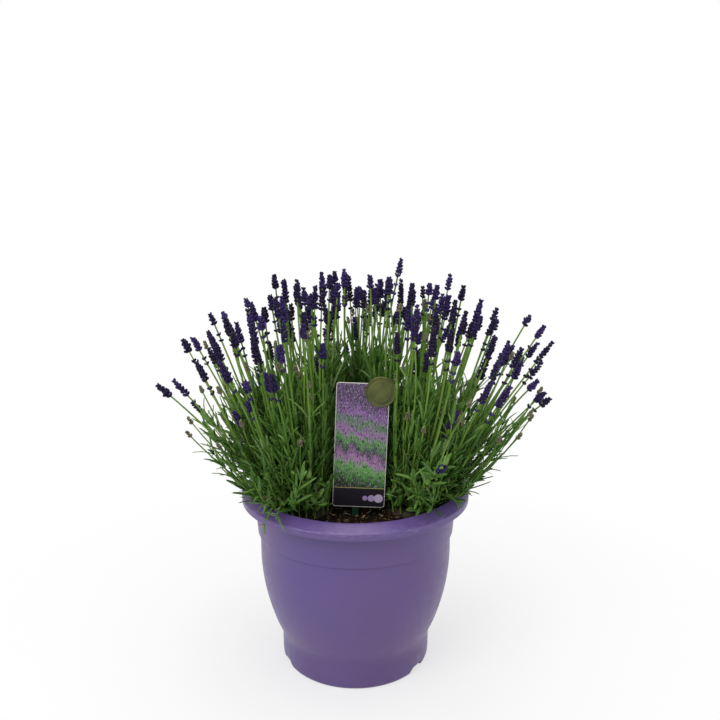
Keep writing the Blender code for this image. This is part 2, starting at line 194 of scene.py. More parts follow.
def mathNode(tree, operation, first, second=0.0):
    node = shaderNode(tree, "Math", operation=operation)
    feed(tree, node.inputs[0], first)
    feed(tree, node.inputs[1], second)
    return node.outputs[0]


def rampNode(tree, factor, stops):
    node = tree.nodes.new("ShaderNodeValToRGB")
    elements = node.color_ramp.elements
    while len(elements) < len(stops):
        elements.new(0.5)
    for element, (place, colour) in zip(elements, stops):
        element.position = place
        element.color = (*colour, 1)
    tree.links.new(factor, node.inputs[0])
    return node.outputs[0]


def mixNode(tree, factor, first, second, blend="MIX"):
    node = shaderNode(tree, "Mix", data_type="RGBA", blend_type=blend)
    for place, value in ((0, factor), (6, first), (7, second)):
        feed(tree, node.inputs[place], value)
    return node.outputs[2]


def noiseNode(tree, scale, detail=3.0, stretch=None, place=None):
    place = place or shaderNode(tree, "TexCoord").outputs["Object"]
    if stretch:
        place = shaderNode(tree, "Mapping", {"Vector": place}, Scale=stretch).outputs[0]
    return shaderNode(tree, "TexNoise", {"Vector": place}, Scale=scale, Detail=detail).outputs[0]


def bumpNode(tree, shader, height, strength, distance):
    node = shaderNode(tree, "Bump", {"Height": height}, Strength=strength, Distance=distance)
    tree.links.new(node.outputs[0], shader.inputs["Normal"])


def naturalFinish(name, roughness, specular, source, colours, grain=None, shades=(), bump=None):
    # colours read from a noise, or from each shape's own tint, then lightened and darkened by a grain
    material, tree, shader = newMaterial(name, roughness, Specular_IOR_Level=specular)
    if source == "tint":
        factor = shaderNode(tree, "Attribute", attribute_name="tint").outputs["Fac"]
    else:
        factor = noiseNode(tree, *source)
    colour = rampNode(tree, factor, colours)
    if grain:
        colour = mixNode(tree, 1.0, colour, rampNode(tree, noiseNode(tree, *grain), shades), "MULTIPLY")
    tree.links.new(colour, shader.inputs["Base Color"])
    if bump:
        pattern, strength, distance = bump
        bumpNode(tree, shader, noiseNode(tree, *pattern), strength, distance)
    return material


def greys(*stops):
    return [(place, (grey, grey, grey)) for place, grey in stops]


# geometry node trees

def startTree(name, sockets):
    tree = bpy.data.node_groups.new(name, "GeometryNodeTree")
    tree.is_modifier = True
    tree.interface.new_socket("Geometry", in_out="INPUT", socket_type="NodeSocketGeometry")
    for label, kind, value in sockets:
        socket = tree.interface.new_socket(label, in_out="INPUT", socket_type=kind)
        if value is not None:
            socket.default_value = value
    tree.interface.new_socket("Geometry", in_out="OUTPUT", socket_type="NodeSocketGeometry")
    entry = tree.nodes.new("NodeGroupInput")
    leave = tree.nodes.new("NodeGroupOutput")
    return tree, entry, leave


def endTree(tree, leave, geometry, entry):
    # real geometry and a material, because instances don't leave the file
    real = addNode(tree, "GeometryNodeRealizeInstances", {"Geometry": geometry})
    painted = addNode(tree, "GeometryNodeSetMaterial",
                      {"Geometry": real.outputs[0], "Material": entry.outputs["Material"]})
    tree.links.new(painted.outputs[0], leave.inputs[0])
    return tree


def shelfNode(tree, entry):
    return addNode(tree, "GeometryNodeCollectionInfo", {"Collection": entry.outputs["Shapes"]},
                   Separate_Children=True, Reset_Children=True).outputs[0]


def ownValue(tree, name, kind):
    return addNode(tree, "GeometryNodeInputNamedAttribute", data_type=kind, Name=name).outputs[0]


def randomValue(tree, entry, kind, **limits):
    links = {"Seed": entry.outputs["Seed"]}
    return addNode(tree, "FunctionNodeRandomValue", links, data_type=kind, **limits)


def placeNode(tree, points, shapes, kind, turn, scale):
    rotation = addNode(tree, "FunctionNodeEulerToRotation", {"Euler": turn})
    return addNode(tree, "GeometryNodeInstanceOnPoints", {
        "Points": points,
        "Instance": shapes,
        "Instance Index": kind,
        "Rotation": rotation.outputs[0],
        "Scale": scale,
    }, Pick_Instance=True).outputs[0]


def stemTree():
    # sweeps a square section along every curve, as thick as the curve's own radius times the width
    tree, entry, leave = startTree("sweepStems", [
        ("Stem Width", "NodeSocketFloat", 1.0),
        ("Material", "NodeSocketMaterial", None),
    ])
    width = entry.outputs["Stem Width"]
    section = addNode(tree, "GeometryNodeCurvePrimitiveQuadrilateral", {"Width": width, "Height": width})
    radius = addNode(tree, "GeometryNodeInputRadius")
    sweep = addNode(tree, "GeometryNodeCurveToMesh", {
        "Curve": entry.outputs["Geometry"],
        "Profile Curve": section.outputs[0],
        "Scale": radius.outputs[0],
    }, Fill_Caps=True)
    smooth = addNode(tree, "GeometryNodeSetShadeSmooth", {"Geometry": sweep.outputs[0]}, Shade_Smooth=True)
    return endTree(tree, leave, smooth.outputs[0], entry)


def scatterTree():
    # puts a chosen shape on every point, turned and sized by the point's own values
    tree, entry, leave = startTree("placeShapes", [
        ("Shapes", "NodeSocketCollection", None),
        ("Overall Size", "NodeSocketFloat", 1.0),
        ("Material", "NodeSocketMaterial", None),
    ])
    scale = shaderNode(tree, "VectorMath", {
        "Vector": ownValue(tree, "size", "FLOAT_VECTOR"),
        "Scale": entry.outputs["Overall Size"],
    }, operation="SCALE")
    kind, turn = ownValue(tree, "kind", "INT"), ownValue(tree, "turn", "FLOAT_VECTOR")
    placed = placeNode(tree, entry.outputs["Geometry"], shelfNode(tree, entry), kind, turn, scale.outputs[0])
    return endTree(tree, leave, placed, entry)


def crumbTree():
    # strews shapes over the upward faces of a surface, with a fixed seed
    tree, entry, leave = startTree("strewCrumbs", [
        ("Shapes", "NodeSocketCollection", None),
        ("Count Per Area", "NodeSocketFloat", 1000.0),
        ("Smallest", "NodeSocketFloat", 0.5),
        ("Largest", "NodeSocketFloat", 1.5),
        ("Seed", "NodeSocketInt", 1),
        ("Material", "NodeSocketMaterial", None),
    ])
    spread = addNode(tree, "GeometryNodeDistributePointsOnFaces", {
        "Mesh": entry.outputs["Geometry"],
        "Density": entry.outputs["Count Per Area"],
        "Seed": entry.outputs["Seed"],
    })
    turn = randomValue(tree, entry, "FLOAT_VECTOR", Max=(0.7, 0.7, 2 * math.pi))
    kind = randomValue(tree, entry, "INT", Max=soil["shapes"] - 1)
    size = randomValue(tree, entry, "FLOAT")
    tree.links.new(entry.outputs["Smallest"], size.inputs["Min"])
    tree.links.new(entry.outputs["Largest"], size.inputs["Max"])
    tint = randomValue(tree, entry, "FLOAT")
    placed = placeNode(tree, spread.outputs[0], shelfNode(tree, entry), kind.outputs["Value"],
                       turn.outputs["Value"], size.outputs["Value"])
    kept = addNode(tree, "GeometryNodeStoreNamedAttribute",
                   {"Geometry": placed, "Value": tint.outputs["Value"]},
                   domain="INSTANCE", data_type="FLOAT", Name="tint")
    return endTree(tree, leave, kept.outputs[0], entry)


def finalMesh(source):
    # a plain mesh of the object with its modifiers
    bpy.context.view_layer.update()
    graph = bpy.context.evaluated_depsgraph_get()
    return bpy.data.meshes.new_from_object(source.evaluated_get(graph), depsgraph=graph)


def bakeTree(name, source, tree, values):
    # runs a tree on an object and keeps its result as a plain mesh
    modifier = source.modifiers.new(tree.name, "NODES")
    modifier.node_group = tree
    for item in tree.interface.items_tree:
        if item.item_type == "SOCKET" and item.in_out == "INPUT" and item.name in values:
            modifier[item.identifier] = values[item.name]
    source.update_tag()
    mesh = finalMesh(source)
    mesh.name = name
    source.modifiers.remove(modifier)
    piece = bpy.data.objects.new(name, mesh)
    scene.collection.objects.link(piece)
    data = source.data
    bpy.data.objects.remove(source, do_unlink=True)
    if isinstance(data, bpy.types.Curve):
        bpy.data.curves.remove(data)
    print(name, len(mesh.polygons), "faces")
    return piece


def shapeShelf(name, meshes):
    # a collection outside the scene that holds the shapes a tree picks from
    shelf = bpy.data.collections.new(name)
    for i, mesh in enumerate(meshes):
        shelf.objects.link(bpy.data.objects.new(f"{name}{i:02d}", mesh))
    return shelf


def pointCloud(name, points):
    # points are (place, turn matrix, size, kind, tint)
    mesh = bpy.data.meshes.new(name)
    mesh.from_pydata([p[0] for p in points], [], [])
    for label, kind, key, values in (
        ("turn", "FLOAT_VECTOR", "vector", [v for p in points for v in p[1].to_euler()]),
        ("size", "FLOAT_VECTOR", "vector", [v for p in points for v in p[2]]),
        ("kind", "INT", "value", [p[3] for p in points]),
        ("tint", "FLOAT", "value", [p[4] for p in points]),
    ):
        mesh.attributes.new(label, kind, "POINT").data.foreach_set(key, values)
    piece = bpy.data.objects.new(name, mesh)
    scene.collection.objects.link(piece)
    return piece


def curveBundle(name, paths):
    # each path is a list of (point, radius)
    curve = bpy.data.curves.new(name, "CURVE")
    curve.dimensions = "3D"
    for path in paths:
        spline = curve.splines.new("POLY")
        spline.points.add(len(path) - 1)
        for corner, (point, radius) in zip(spline.points, path):
            corner.co = (*point, 1)
            corner.radius = radius
    piece = bpy.data.objects.new(name, curve)
    scene.collection.objects.link(piece)
    return piece


def facing(direction, side):
    # a turn whose Z runs along direction and whose Y leans towards side
    z = direction.normalized()
    x = side.cross(z)
    if x.length < 1e-5:
        x = z.orthogonal()
    x.normalize()
    return Matrix((x, z.cross(x), z)).transposed()


# the pot

pot = {
    "segments": 240,
    "bodyRadius": 0.1365,
    "bodyWideZ": 0.165,
    "bulge": 1.83,
    "wall": 0.0024,
    "footRadius": 0.1075,
    "footTopZ": 0.040,
    "footFlat": (0.0990, 0.1020),
    "footRounding": 0.018,
    "floorZ": 0.0115,
    "floorThickness": 0.0028,
    "notchAngles": [math.radians(-35.5 + 120 * i) for i in range(3)],
    "notchWidth": 0.027,
    "notchHeight": 0.009,
    "bandBottomZ": 0.193,
    "bandRadius": 0.1402,
    "bandStep": 0.009,
    "bandTopRadius": 0.1443,
    "skirtZ": 0.2410,
    "rimEdgeZ": 0.2497,
    "plateZ": 0.2505,
    "innerLowZ": 0.065,
    "drainHoles": 6,
    "drainCircle": 0.074,
    "drainRadius": 0.006,
    "drainFirstAngle": math.radians(26),
}
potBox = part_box("pot")
potTop = potBox[1].z
rimRadius = potBox[1].x


def bodyRadius(z):
    return pot["bodyRadius"] - pot["bulge"] * max(pot["bodyWideZ"] - z, 0) ** 2


def potPlastic():
    material, tree, shader = newMaterial("potPlastic", 0.4, IOR=1.49)
    place = shaderNode(tree, "TexCoord").outputs["Object"]
    height = shaderNode(tree, "SeparateXYZ", {"Vector": place}).outputs[2]
    violets = [(0.30, (0.098, 0.066, 0.232)), (0.50, (0.108, 0.065, 0.214)), (0.70, (0.104, 0.058, 0.190))]
    base = rampNode(tree, noiseNode(tree, 6, 2), violets)
    # scuffs and a painted highlight: short pale streaks that run round the rim, thickest on its crease,
    # where they paint the crease's highlight as well as wear
    streak = noiseNode(tree, 95, 5, (1, 1, 8))
    scuffAndHighlightStreaks = rampNode(tree, streak, greys((0.50, 0), (0.72, 1)))
    rimScuffAndHighlightBand = rampNode(tree, height, greys((0.2300, 0.02), (0.2440, 0.10), (0.2482, 0.46), (0.2500, 0.46),
                                         (0.2520, 0.05)))
    scuffsAndHighlight = mathNode(tree, "MULTIPLY", scuffAndHighlightStreaks, rimScuffAndHighlightBand)
    # the pale streak colour is partly real scuffing and partly a painted highlight along the rim's crease
    colour = mixNode(tree, scuffsAndHighlight, base, (0.30, 0.25, 0.46))
    tree.links.new(colour, shader.inputs["Base Color"])
    rough = rampNode(tree, noiseNode(tree, 90, 3), greys((0.3, 0.33), (0.7, 0.43)))
    tree.links.new(mathNode(tree, "ADD", rough, mathNode(tree, "MULTIPLY", scuffsAndHighlight, 0.2)),
                   shader.inputs["Roughness"])
    bumpNode(tree, shader, noiseNode(tree, 900, 2), 0.25, 0.0002)
    return material


def notchLift(corner, angle):
    # raises the foot's lower edge into an arch at each notch
    radius = math.hypot(corner.x, corner.y)
    if corner.z > pot["notchHeight"] or radius < pot["footFlat"][0] - 0.004:
        return corner
    for middle in pot["notchAngles"]:
        off = (angle - middle + math.pi) % (2 * math.pi) - math.pi
        across = abs(off) * pot["footFlat"][1] / (0.5 * pot["notchWidth"])
        if across < 1:
            arch = pot["notchHeight"] * (1 - across ** 6) ** 0.5
            return Vector((corner.x, corner.y, max(corner.z, arch)))
    return corner


def potCorners():
    inner, outer = pot["footFlat"]
    floorTop = pot["floorZ"] + pot["floorThickness"]
    wall = pot["wall"]
    corners = [
        (0, pot["floorZ"], 0),
        (inner - 0.001, pot["floorZ"], 0.0015),
        (inner - 0.0002, 0.0035, 0),
        (inner, 0, 0.001),
        (outer, 0, 0),
        (outer + 0.0030, 0.0007, 0.002),
        (pot["footRadius"] - 0.0006, 0.0042, 0.002),
        (pot["footRadius"] - 0.0002, 0.0095, 0),
        (pot["footRadius"], pot["footTopZ"], pot["footRounding"]),
    ]
    for i in range(3, 19):
        z = pot["footTopZ"] + (pot["bodyWideZ"] - pot["footTopZ"]) * i / 18
        corners.append((bodyRadius(z), z, 0))
    stepTop = pot["bandBottomZ"] + pot["bandStep"]
    corners += [
        (pot["bodyRadius"], pot["bandBottomZ"] + 0.0010, 0.0004),
        (pot["bandRadius"] - 0.0004, pot["bandBottomZ"] + 0.0016, 0.0006),
        (pot["bandRadius"] + 0.0004, stepTop + 0.002, 0.004),
        (pot["bandTopRadius"], pot["plateZ"] - 0.0005, 0.0015),
        (rimRadius - wall, pot["rimEdgeZ"] - 0.0015, 0.001),
        (rimRadius - wall, pot["skirtZ"], 0.0006),
        (rimRadius - 0.0002, pot["skirtZ"], 0.0008),
        (rimRadius, pot["rimEdgeZ"] + 0.0002, 0.0014),
        (rimRadius - 0.0105, pot["rimEdgeZ"] + 0.0055, 0.006),
        (pot["bandTopRadius"] + 0.0005, potTop, 0.003),
        (pot["bandTopRadius"] - wall, potTop - 0.0003, 0.0025),
        (pot["bandTopRadius"] - wall - 0.0005, potTop - 0.006, 0.002),
        (pot["bandRadius"] - wall, stepTop, 0.003),
        (pot["bodyRadius"] - wall, pot["bandBottomZ"], 0.003),
    ]
    for i in range(8):
        z = pot["bodyWideZ"] + (pot["innerLowZ"] - pot["bodyWideZ"]) * i / 7
        corners.append((bodyRadius(z) - wall, z, 0))
    footInside = pot["footRadius"] - 2 * wall
    corners += [(bodyRadius(pot["footTopZ"]) - wall, pot["footTopZ"], 0), (footInside, floorTop, 0.005),
                (0, floorTop, 0)]
    return corners


def buildPot():
    builder = bmesh.new()
    turnProfile(builder, roundedProfile(potCorners(), 5), pot["segments"], notchLift)
    shell = linkMesh("potShell", meshFromBuilder("potShell", builder), [potPlastic()], 40)
    cutters = []
    radius = pot["drainRadius"]
    for i in range(pot["drainHoles"]):
        angle = pot["drainFirstAngle"] + 2 * math.pi * i / pot["drainHoles"]
        tool = bmesh.new()
        turnProfile(tool, [Vector(p) for p in ((0, -0.01), (radius, -0.01), (radius, 0.01), (0, 0.01))], 24)
        cutter = linkMesh(f"drainTool{i}", meshFromBuilder("drainTool", tool), [])
        cutter.location = (pot["drainCircle"] * math.cos(angle), pot["drainCircle"] * math.sin(angle),
                           pot["floorZ"])
        cut = shell.modifiers.new("drain", "BOOLEAN")
        cut.operation = "DIFFERENCE"
        cut.object = cutter
        cutters.append(cutter)
    mesh = finalMesh(shell)
    shell.modifiers.clear()
    shell.data = mesh
    for cutter in cutters:
        bpy.data.objects.remove(cutter, do_unlink=True)
    finish(shell, "pot_plastic", "pot")
    print("potShell", len(mesh.polygons), "faces")


# the soil

soil = {
    "rings": 60,
    "segments": 192,
    "unevenness": 0.0028,
    "moundRise": 0.004,
    "moundWidth": 0.055,
    "topZ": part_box("soil")[1].z,
    "clearance": 0.0006,
    "shapes": 6,
    "crumbsPerArea": 66000,
    "crumbSize": (0.0012, 0.0046),
    "fibresPerArea": 7600,
    "fibreSize": (0.006, 0.017),
    "fibreWidth": 0.028,
}
crowns = {}
for clump in clumps:
    low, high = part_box(f"woody_crown_{clump}")
    crowns[clump] = Vector(((low.x + high.x) / 2, (low.y + high.y) / 2, high.z))


def soilHeight(x, y):
    spot = Vector((x, y, 0))
    height = soil["topZ"] - 0.001
    height += soil["unevenness"] * noise.noise(spot * 38)
    height += 0.5 * soil["unevenness"] * noise.noise(spot * 110 + Vector((3, 1, 7)))
    height += 0.25 * soil["unevenness"] * noise.noise(spot * 320 + Vector((9, 4, 2)))
    for crown in crowns.values():
        away = math.hypot(x - crown.x, y - crown.y)
        height += soil["moundRise"] * math.exp(-(away / soil["moundWidth"]) ** 4)
    return height


def soilFinishes():
    peat = naturalFinish(
        "dampPeat", 0.95, 0.12, (420, 5),
        [(0.30, (0.003, 0.002, 0.001)), (0.55, (0.011, 0.007, 0.004)), (0.80, (0.034, 0.020, 0.011))],
        (45, 3), greys((0.35, 0.45), (0.65, 1)), ((420, 5), 0.9, 0.0012))
    crumbs = naturalFinish(
        "peatCrumbs", 0.9, 0.15, "tint",
        [(0.0, (0.003, 0.002, 0.001)), (0.50, (0.013, 0.008, 0.004)), (0.80, (0.070, 0.034, 0.013)),
         (0.94, (0.11, 0.075, 0.035)), (1.0, (0.26, 0.20, 0.12))],
        (700, 3), greys((0.3, 0.5), (0.7, 1)), ((700, 3), 0.6, 0.0006))
    straw = naturalFinish(
        "strawFibres", 0.7, 0.25, "tint",
        [(0.0, (0.045, 0.024, 0.010)), (0.45, (0.15, 0.085, 0.036)), (0.75, (0.42, 0.30, 0.15)),
         (1.0, (0.70, 0.62, 0.42))],
        (500, 2), greys((0.3, 0.65), (0.7, 1)))
    return peat, crumbs, straw


def crumbShapes():
    meshes = []
    for i in range(soil["shapes"]):
        builder = bmesh.new()
        bmesh.ops.create_icosphere(builder, subdivisions=1, radius=0.5)
        for corner in builder.verts:
            lump = 1 + 0.5 * noise.noise(corner.co * 2.5 + Vector((i * 5.3, 0, 0)))
            corner.co = Vector((corner.co.x * (0.8 + 0.12 * i), corner.co.y, corner.co.z * 0.7)) * lump
        meshes.append(meshFromBuilder(f"crumb{i}", builder))
    return meshes


def fibreShapes():
    # thin bent straws, one unit long
    meshes = []
    around = [Vector((0, math.cos(2 * math.pi * j / 3), math.sin(2 * math.pi * j / 3))) for j in range(3)]
    for i in range(soil["shapes"]):
        builder = bmesh.new()
        bend = 0.06 + 0.05 * i
        rings = []
        for k in range(6):
            t = k / 5
            swerve = bend * math.sin(math.pi * t * (1 + 0.25 * i))
            centre = Vector((t - 0.5, swerve, 0.05 * math.sin(5 * t + i)))
            rings.append([builder.verts.new(centre + soil["fibreWidth"] * out) for out in around])
        closeTube(builder, rings)
        meshes.append(meshFromBuilder(f"fibre{i}", builder))
    return meshes


def buildSoil():
    inset = pot["wall"] + soil["clearance"]
    floorTop = pot["floorZ"] + pot["floorThickness"] + soil["clearance"]
    edge = pot["bandRadius"] - inset
    points = [Vector((0, floorTop)), Vector((pot["footRadius"] - 0.0105, floorTop))]
    for z in (pot["footTopZ"], pot["innerLowZ"], 0.09, 0.115, 0.14, pot["bodyWideZ"], pot["bandBottomZ"]):
        points.append(Vector((bodyRadius(z) - inset, z)))
    points.append(Vector((edge, pot["bandBottomZ"] + pot["bandStep"])))
    sideCount = len(points)
    for i in range(soil["rings"]):
        points.append(Vector((edge * (1 - i / soil["rings"]), soil["topZ"])))
    points.append(Vector((0, soil["topZ"])))

    def settle(corner, angle):
        if corner.z < soil["topZ"] - 1e-6:
            return corner
        return Vector((corner.x, corner.y, soilHeight(corner.x, corner.y)))

    builder = bmesh.new()
    rings = turnProfile(builder, points, soil["segments"], settle)
    rings[-1][0].co.z = soilHeight(0, 0)
    topRings = rings[sideCount + 1:]
    surface = bmesh.new()
    copies = [[surface.verts.new(v.co) for v in ring] for ring in topRings[:-1]]
    for lower, upper in zip(copies, copies[1:]):
        joinRings(surface, lower, upper)
    peat, crumbFinish, straw = soilFinishes()
    finish(linkMesh("soilBed", meshFromBuilder("soilBed", builder), [peat], 60), "soil_peat", "soil")

    top = meshFromBuilder("soilTop", surface)
    tree = crumbTree()
    for name, shapes, count, size, seed, material in (
        ("soilCrumbs", crumbShapes(), soil["crumbsPerArea"], soil["crumbSize"], 4, crumbFinish),
        ("soilFibres", fibreShapes(), soil["fibresPerArea"], soil["fibreSize"], 9, straw),
    ):
        piece = bakeTree(name, linkMesh(name + "Bed", top.copy(), []), tree, {
            "Shapes": shapeShelf(name + "Shelf", shapes),
            "Count Per Area": count,
            "Smallest": size[0],
            "Largest": size[1],
            "Seed": seed,
            "Material": material,
        })
        finish(piece, "soil_peat")


# the label: card, badge and stake

label = {
    "width": 0.070,
    "height": 0.171,
    "thickness": 0.0008,
    "corner": 0.004,
    "tilt": math.radians(2.3),
    "edgeRounding": 0.0002,
    "printMargin": 0.0009,
    "footTop": 0.156,
    "discRise": 0.075,
    "clearDepth": 0.006,
    "clearSide": 0.042,
    "clearShoots": 0.05,
}
cardLow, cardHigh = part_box("label_card")
cardCentre = (cardLow + cardHigh) / 2


def cardPrint():
    # soft bands of violet and green over a dark foot with plain discs
    material, tree, shader = newMaterial("cardPrint", 0.38, Specular_IOR_Level=0.3)
    place = shaderNode(tree, "UVMap", uv_map="face").outputs[0]
    parts = shaderNode(tree, "SeparateXYZ", {"Vector": place})
    u, v = parts.outputs[0], parts.outputs[1]

    def strokes(under, scale, low, high, strength, colour):
        # short upright strokes of one colour over what is there
        speck = noiseNode(tree, scale, 2, (1.0, 0.75, 1.0), place)
        marks = rampNode(tree, speck, greys((low, 0), (high, 1)))
        return mixNode(tree, mathNode(tree, "MULTIPLY", marks, strength), under, colour)

    wobble = noiseNode(tree, 7, 2.0, None, place)
    slanted = mathNode(tree, "ADD", v, mathNode(tree, "MULTIPLY", u, 0.10))
    shifted = mathNode(tree, "ADD", slanted, mathNode(tree, "MULTIPLY", wobble, 0.20))
    picture = rampNode(tree, shifted, [
        (0.30, (0.012, 0.022, 0.010)), (0.37, (0.040, 0.130, 0.026)), (0.46, (0.130, 0.400, 0.070)),
        (0.54, (0.430, 0.190, 0.460)), (0.61, (0.060, 0.040, 0.080)), (0.68, (0.100, 0.310, 0.070)),
        (0.76, (0.340, 0.140, 0.410)), (0.83, (0.080, 0.200, 0.070)), (0.90, (0.260, 0.110, 0.360)),
        (1.00, (0.100, 0.045, 0.140)),
    ])
    picture = strokes(picture, 58, 0.56, 0.66, 0.75, (0.55, 0.32, 0.62))
    picture = strokes(picture, 71, 0.57, 0.66, 0.60, (0.22, 0.50, 0.16))
    picture = strokes(picture, 46, 0.53, 0.64, 0.85, (0.010, 0.014, 0.012))
    # dark foot with a thin straw-coloured line above it
    foot = rampNode(tree, v, greys((label["footTop"] - 0.006, 1), (label["footTop"], 0)))
    picture = mixNode(tree, foot, picture, (0.016, 0.012, 0.020))
    line = mathNode(tree, "COMPARE", v, label["footTop"] + 0.002)
    line.node.inputs[2].default_value = 0.0022
    picture = mixNode(tree, line, picture, (0.52, 0.48, 0.16))
    # three plain discs in the foot, growing towards the right
    for middle, radius, colour in ((0.62, 0.020, (0.42, 0.30, 0.56)), (0.74, 0.027, (0.50, 0.38, 0.64)),
                                   (0.88, 0.035, (0.62, 0.50, 0.74))):
        across = mathNode(tree, "MULTIPLY", mathNode(tree, "SUBTRACT", u, middle),
                          label["width"] / label["height"])
        rise = mathNode(tree, "SUBTRACT", v, label["discRise"])
        square = mathNode(tree, "ADD", mathNode(tree, "MULTIPLY", across, across),
                          mathNode(tree, "MULTIPLY", rise, rise))
        disc = mathNode(tree, "LESS_THAN", square, radius * radius)
        picture = mixNode(tree, disc, picture, colour)
    tree.links.new(picture, shader.inputs["Base Color"])
    bumpNode(tree, shader, noiseNode(tree, 30, 2), 0.15, 0.0004)
    return material


def roundedOutline(width, height, corner, steps=7):
    outline = []
    for sideX, sideY, first in ((1, 1, 0), (-1, 1, 90), (-1, -1, 180), (1, -1, 270)):
        for k in range(steps + 1):
            angle = math.radians(first + 90 * k / steps)
            outline.append((sideX * (width / 2 - corner) + corner * math.cos(angle),
                            sideY * (height / 2 - corner) + corner * math.sin(angle)))
    return outline


def buildCard():
    builder = bmesh.new()
    faceMap = builder.loops.layers.uv.new("face")
    half = label["thickness"] / 2
    bevel = label["edgeRounding"]
    layers = ((-bevel, half), (0, half - bevel), (0, bevel - half), (-bevel, -half),
              (-label["printMargin"], -half))
    rings = []
    for grow, depth in layers:
        outline = roundedOutline(label["width"] + 2 * grow, label["height"] + 2 * grow,
                                 label["corner"] + grow)
        rings.append([builder.verts.new((x, depth, z)) for x, z in outline])
    for lower, upper in zip(rings, rings[1:]):
        joinRings(builder, lower, upper, 1)
    builder.faces.new(rings[0]).material_index = 1
    builder.faces.new(rings[-1]).material_index = 0
    for face in builder.faces:
        for loop in face.loops:
            corner = loop.vert.co
            loop[faceMap].uv = (corner.x / label["width"] + 0.5, corner.z / label["height"] + 0.5)
    turn = Matrix.Translation(cardCentre) @ Matrix.Rotation(label["tilt"], 4, "Y")
    bmesh.ops.transform(builder, matrix=turn, verts=builder.verts)
    edge = naturalFinish("cardEdge", 0.4, 0.5, (220, 3),
                         [(0.3, (0.62, 0.60, 0.56)), (0.7, (0.74, 0.72, 0.68))])
    card = linkMesh("labelCard", meshFromBuilder("labelCard", builder), [cardPrint(), edge])
    finish(card, "label_print", "label_card")


badge = {
    "groove": 0.45,
    "ring": 0.70,
    "beads": 28,
    "beadRadius": 0.0007,
    "beadInset": 0.0042,
}


def buildBadge():
    # a plain disc with a raised rim, a ring of beads in its groove and a low dome
    low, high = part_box("label_badge")
    centre = (low + high) / 2
    radius = (high.x - low.x) / 2
    thick = high.y - low.y
    groove = badge["groove"] * thick
    ring = badge["ring"] * thick
    corners = [
        (0, 0, 0),
        (radius, 0, 0.0003),
        (radius, 0.55 * thick, 0.0003),
        (radius - 0.0004, thick, 0.0004),
        (radius - 0.0016, thick, 0.0005),
        (radius - 0.0022, groove, 0.0004),
        (radius - 0.0062, groove, 0.0004),
        (radius - 0.0068, ring, 0.0003),
        (radius - 0.0078, ring, 0.0003),
        (radius - 0.0084, groove, 0.0004),
        (0.45 * radius, 0.62 * thick, 0.002),
        (0, ring, 0),
    ]
    builder = bmesh.new()
    turnProfile(builder, roundedProfile(corners, 3), 96)
    turn = Matrix.Translation(Vector((centre.x, high.y, centre.z))) @ Matrix.Rotation(math.pi / 2, 4, "X")
    bmesh.ops.transform(builder, matrix=turn, verts=builder.verts)
    reach = radius - badge["beadInset"]
    for i in range(badge["beads"]):
        angle = 2 * math.pi * i / badge["beads"]
        bead = bmesh.ops.create_icosphere(builder, subdivisions=1, radius=badge["beadRadius"])["verts"]
        x, z = centre.x + reach * math.cos(angle), centre.z + reach * math.sin(angle)
        bmesh.ops.translate(builder, verts=bead, vec=(x, high.y - groove, z))
    olive = naturalFinish("oliveBadge", 0.30, 0.4, (60, 2),
                          [(0.35, (0.050, 0.062, 0.009)), (0.65, (0.105, 0.118, 0.018))],
                          bump=((240, 2), 0.3, 0.0004))
    finish(linkMesh("labelBadge", meshFromBuilder("labelBadge", builder), [olive], 50), "badge_plastic",
           "label_badge")


def buildStake():
    # a strip with a rib down its back and a pointed foot
    low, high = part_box("label_stake")
    half = (high.x - low.x) / 2
    middle = (low.x + high.x) / 2
    depth = high.y - low.y
    section = ((-1, 0.0), (1, 0.0), (1, 0.35), (0.30, 0.45), (0.22, 1.0), (-0.22, 1.0), (-0.30, 0.45),
               (-1, 0.35))
    builder = bmesh.new()
    rings = []
    for z, share in ((low.z, 0.12), (low.z + 0.012, 0.55), (low.z + 0.030, 1.0), (high.z - 0.002, 1.0),
                     (high.z, 0.8)):
        rings.append([builder.verts.new((middle + x * half * share, low.y + y * depth, z))
                      for x, y in section])
    closeTube(builder, rings)
    green = naturalFinish("stakePlastic", 0.42, 0.5, (80, 3),
                          [(0.3, (0.004, 0.022, 0.012)), (0.7, (0.009, 0.038, 0.021))],
                          bump=((500, 2), 0.3, 0.0002))
    stake = linkMesh("labelStake", meshFromBuilder("labelStake", builder), [green], 30)
    bevel = stake.modifiers.new("softEdges", "BEVEL")
    bevel.width = 0.0002
    bevel.segments = 2
    finish(stake, "stake_plastic", "label_stake")


# the plants: stems and shoots that fill a fan over each clump, and listed ones that lean out of it

fan = {
    "baseRadius": 0.040,
    "topZ": 0.570,
    "topMiddle": 0.150,
    "topReach": 0.145,
    "topSpread": 1.15,
    "curve": 0.15,
    "slots": 50,
    "fixedStep": 10,
    "fixedSlot": 4,
    "startZ": crowns["left"].z,
    "steps": 12,
    "swayWidth": 0.014,
    "looseLift": 0.018,
    "sweepLift": -0.026,
}
flower = {
    "stemWidth": 0.0023,
    "tipMiddle": 0.568,
    "tipDrop": 0.075,
    "dropRadius": 0.27,
    "uneven": 0.028,
    "shortShare": 0.22,
    "shortDrop": (0.02, 0.10),
    "tallDrop": (0, 0.024),
    "spikeLength": (0.020, 0.042),
    "whorlGap": 0.0049,
    "whorlBuds": (7, 5, 6),
    "whorlSpread": 0.78,
    "spreadDrop": 0.46,
    "lowGap": (0.007, 0.014),
    "lowSpread": 0.62,
    "lowSize": 0.72,
    "budLength": 0.0061,
    "budWidth": 0.0032,
    "leftEdge": -0.236,
    "greenTops": 28,
    "greenSlots": 84,
    "greenTurn": 0.4,
    "greenDrop": (0.03, 0.15),
    "greenSway": 0.020,
    "greenSweepSway": 0.012,
    "greenWhorls": (0.012, 0.008, 0.005),
    "cadStems": 5,
    "cadLooseStems": 5,
}
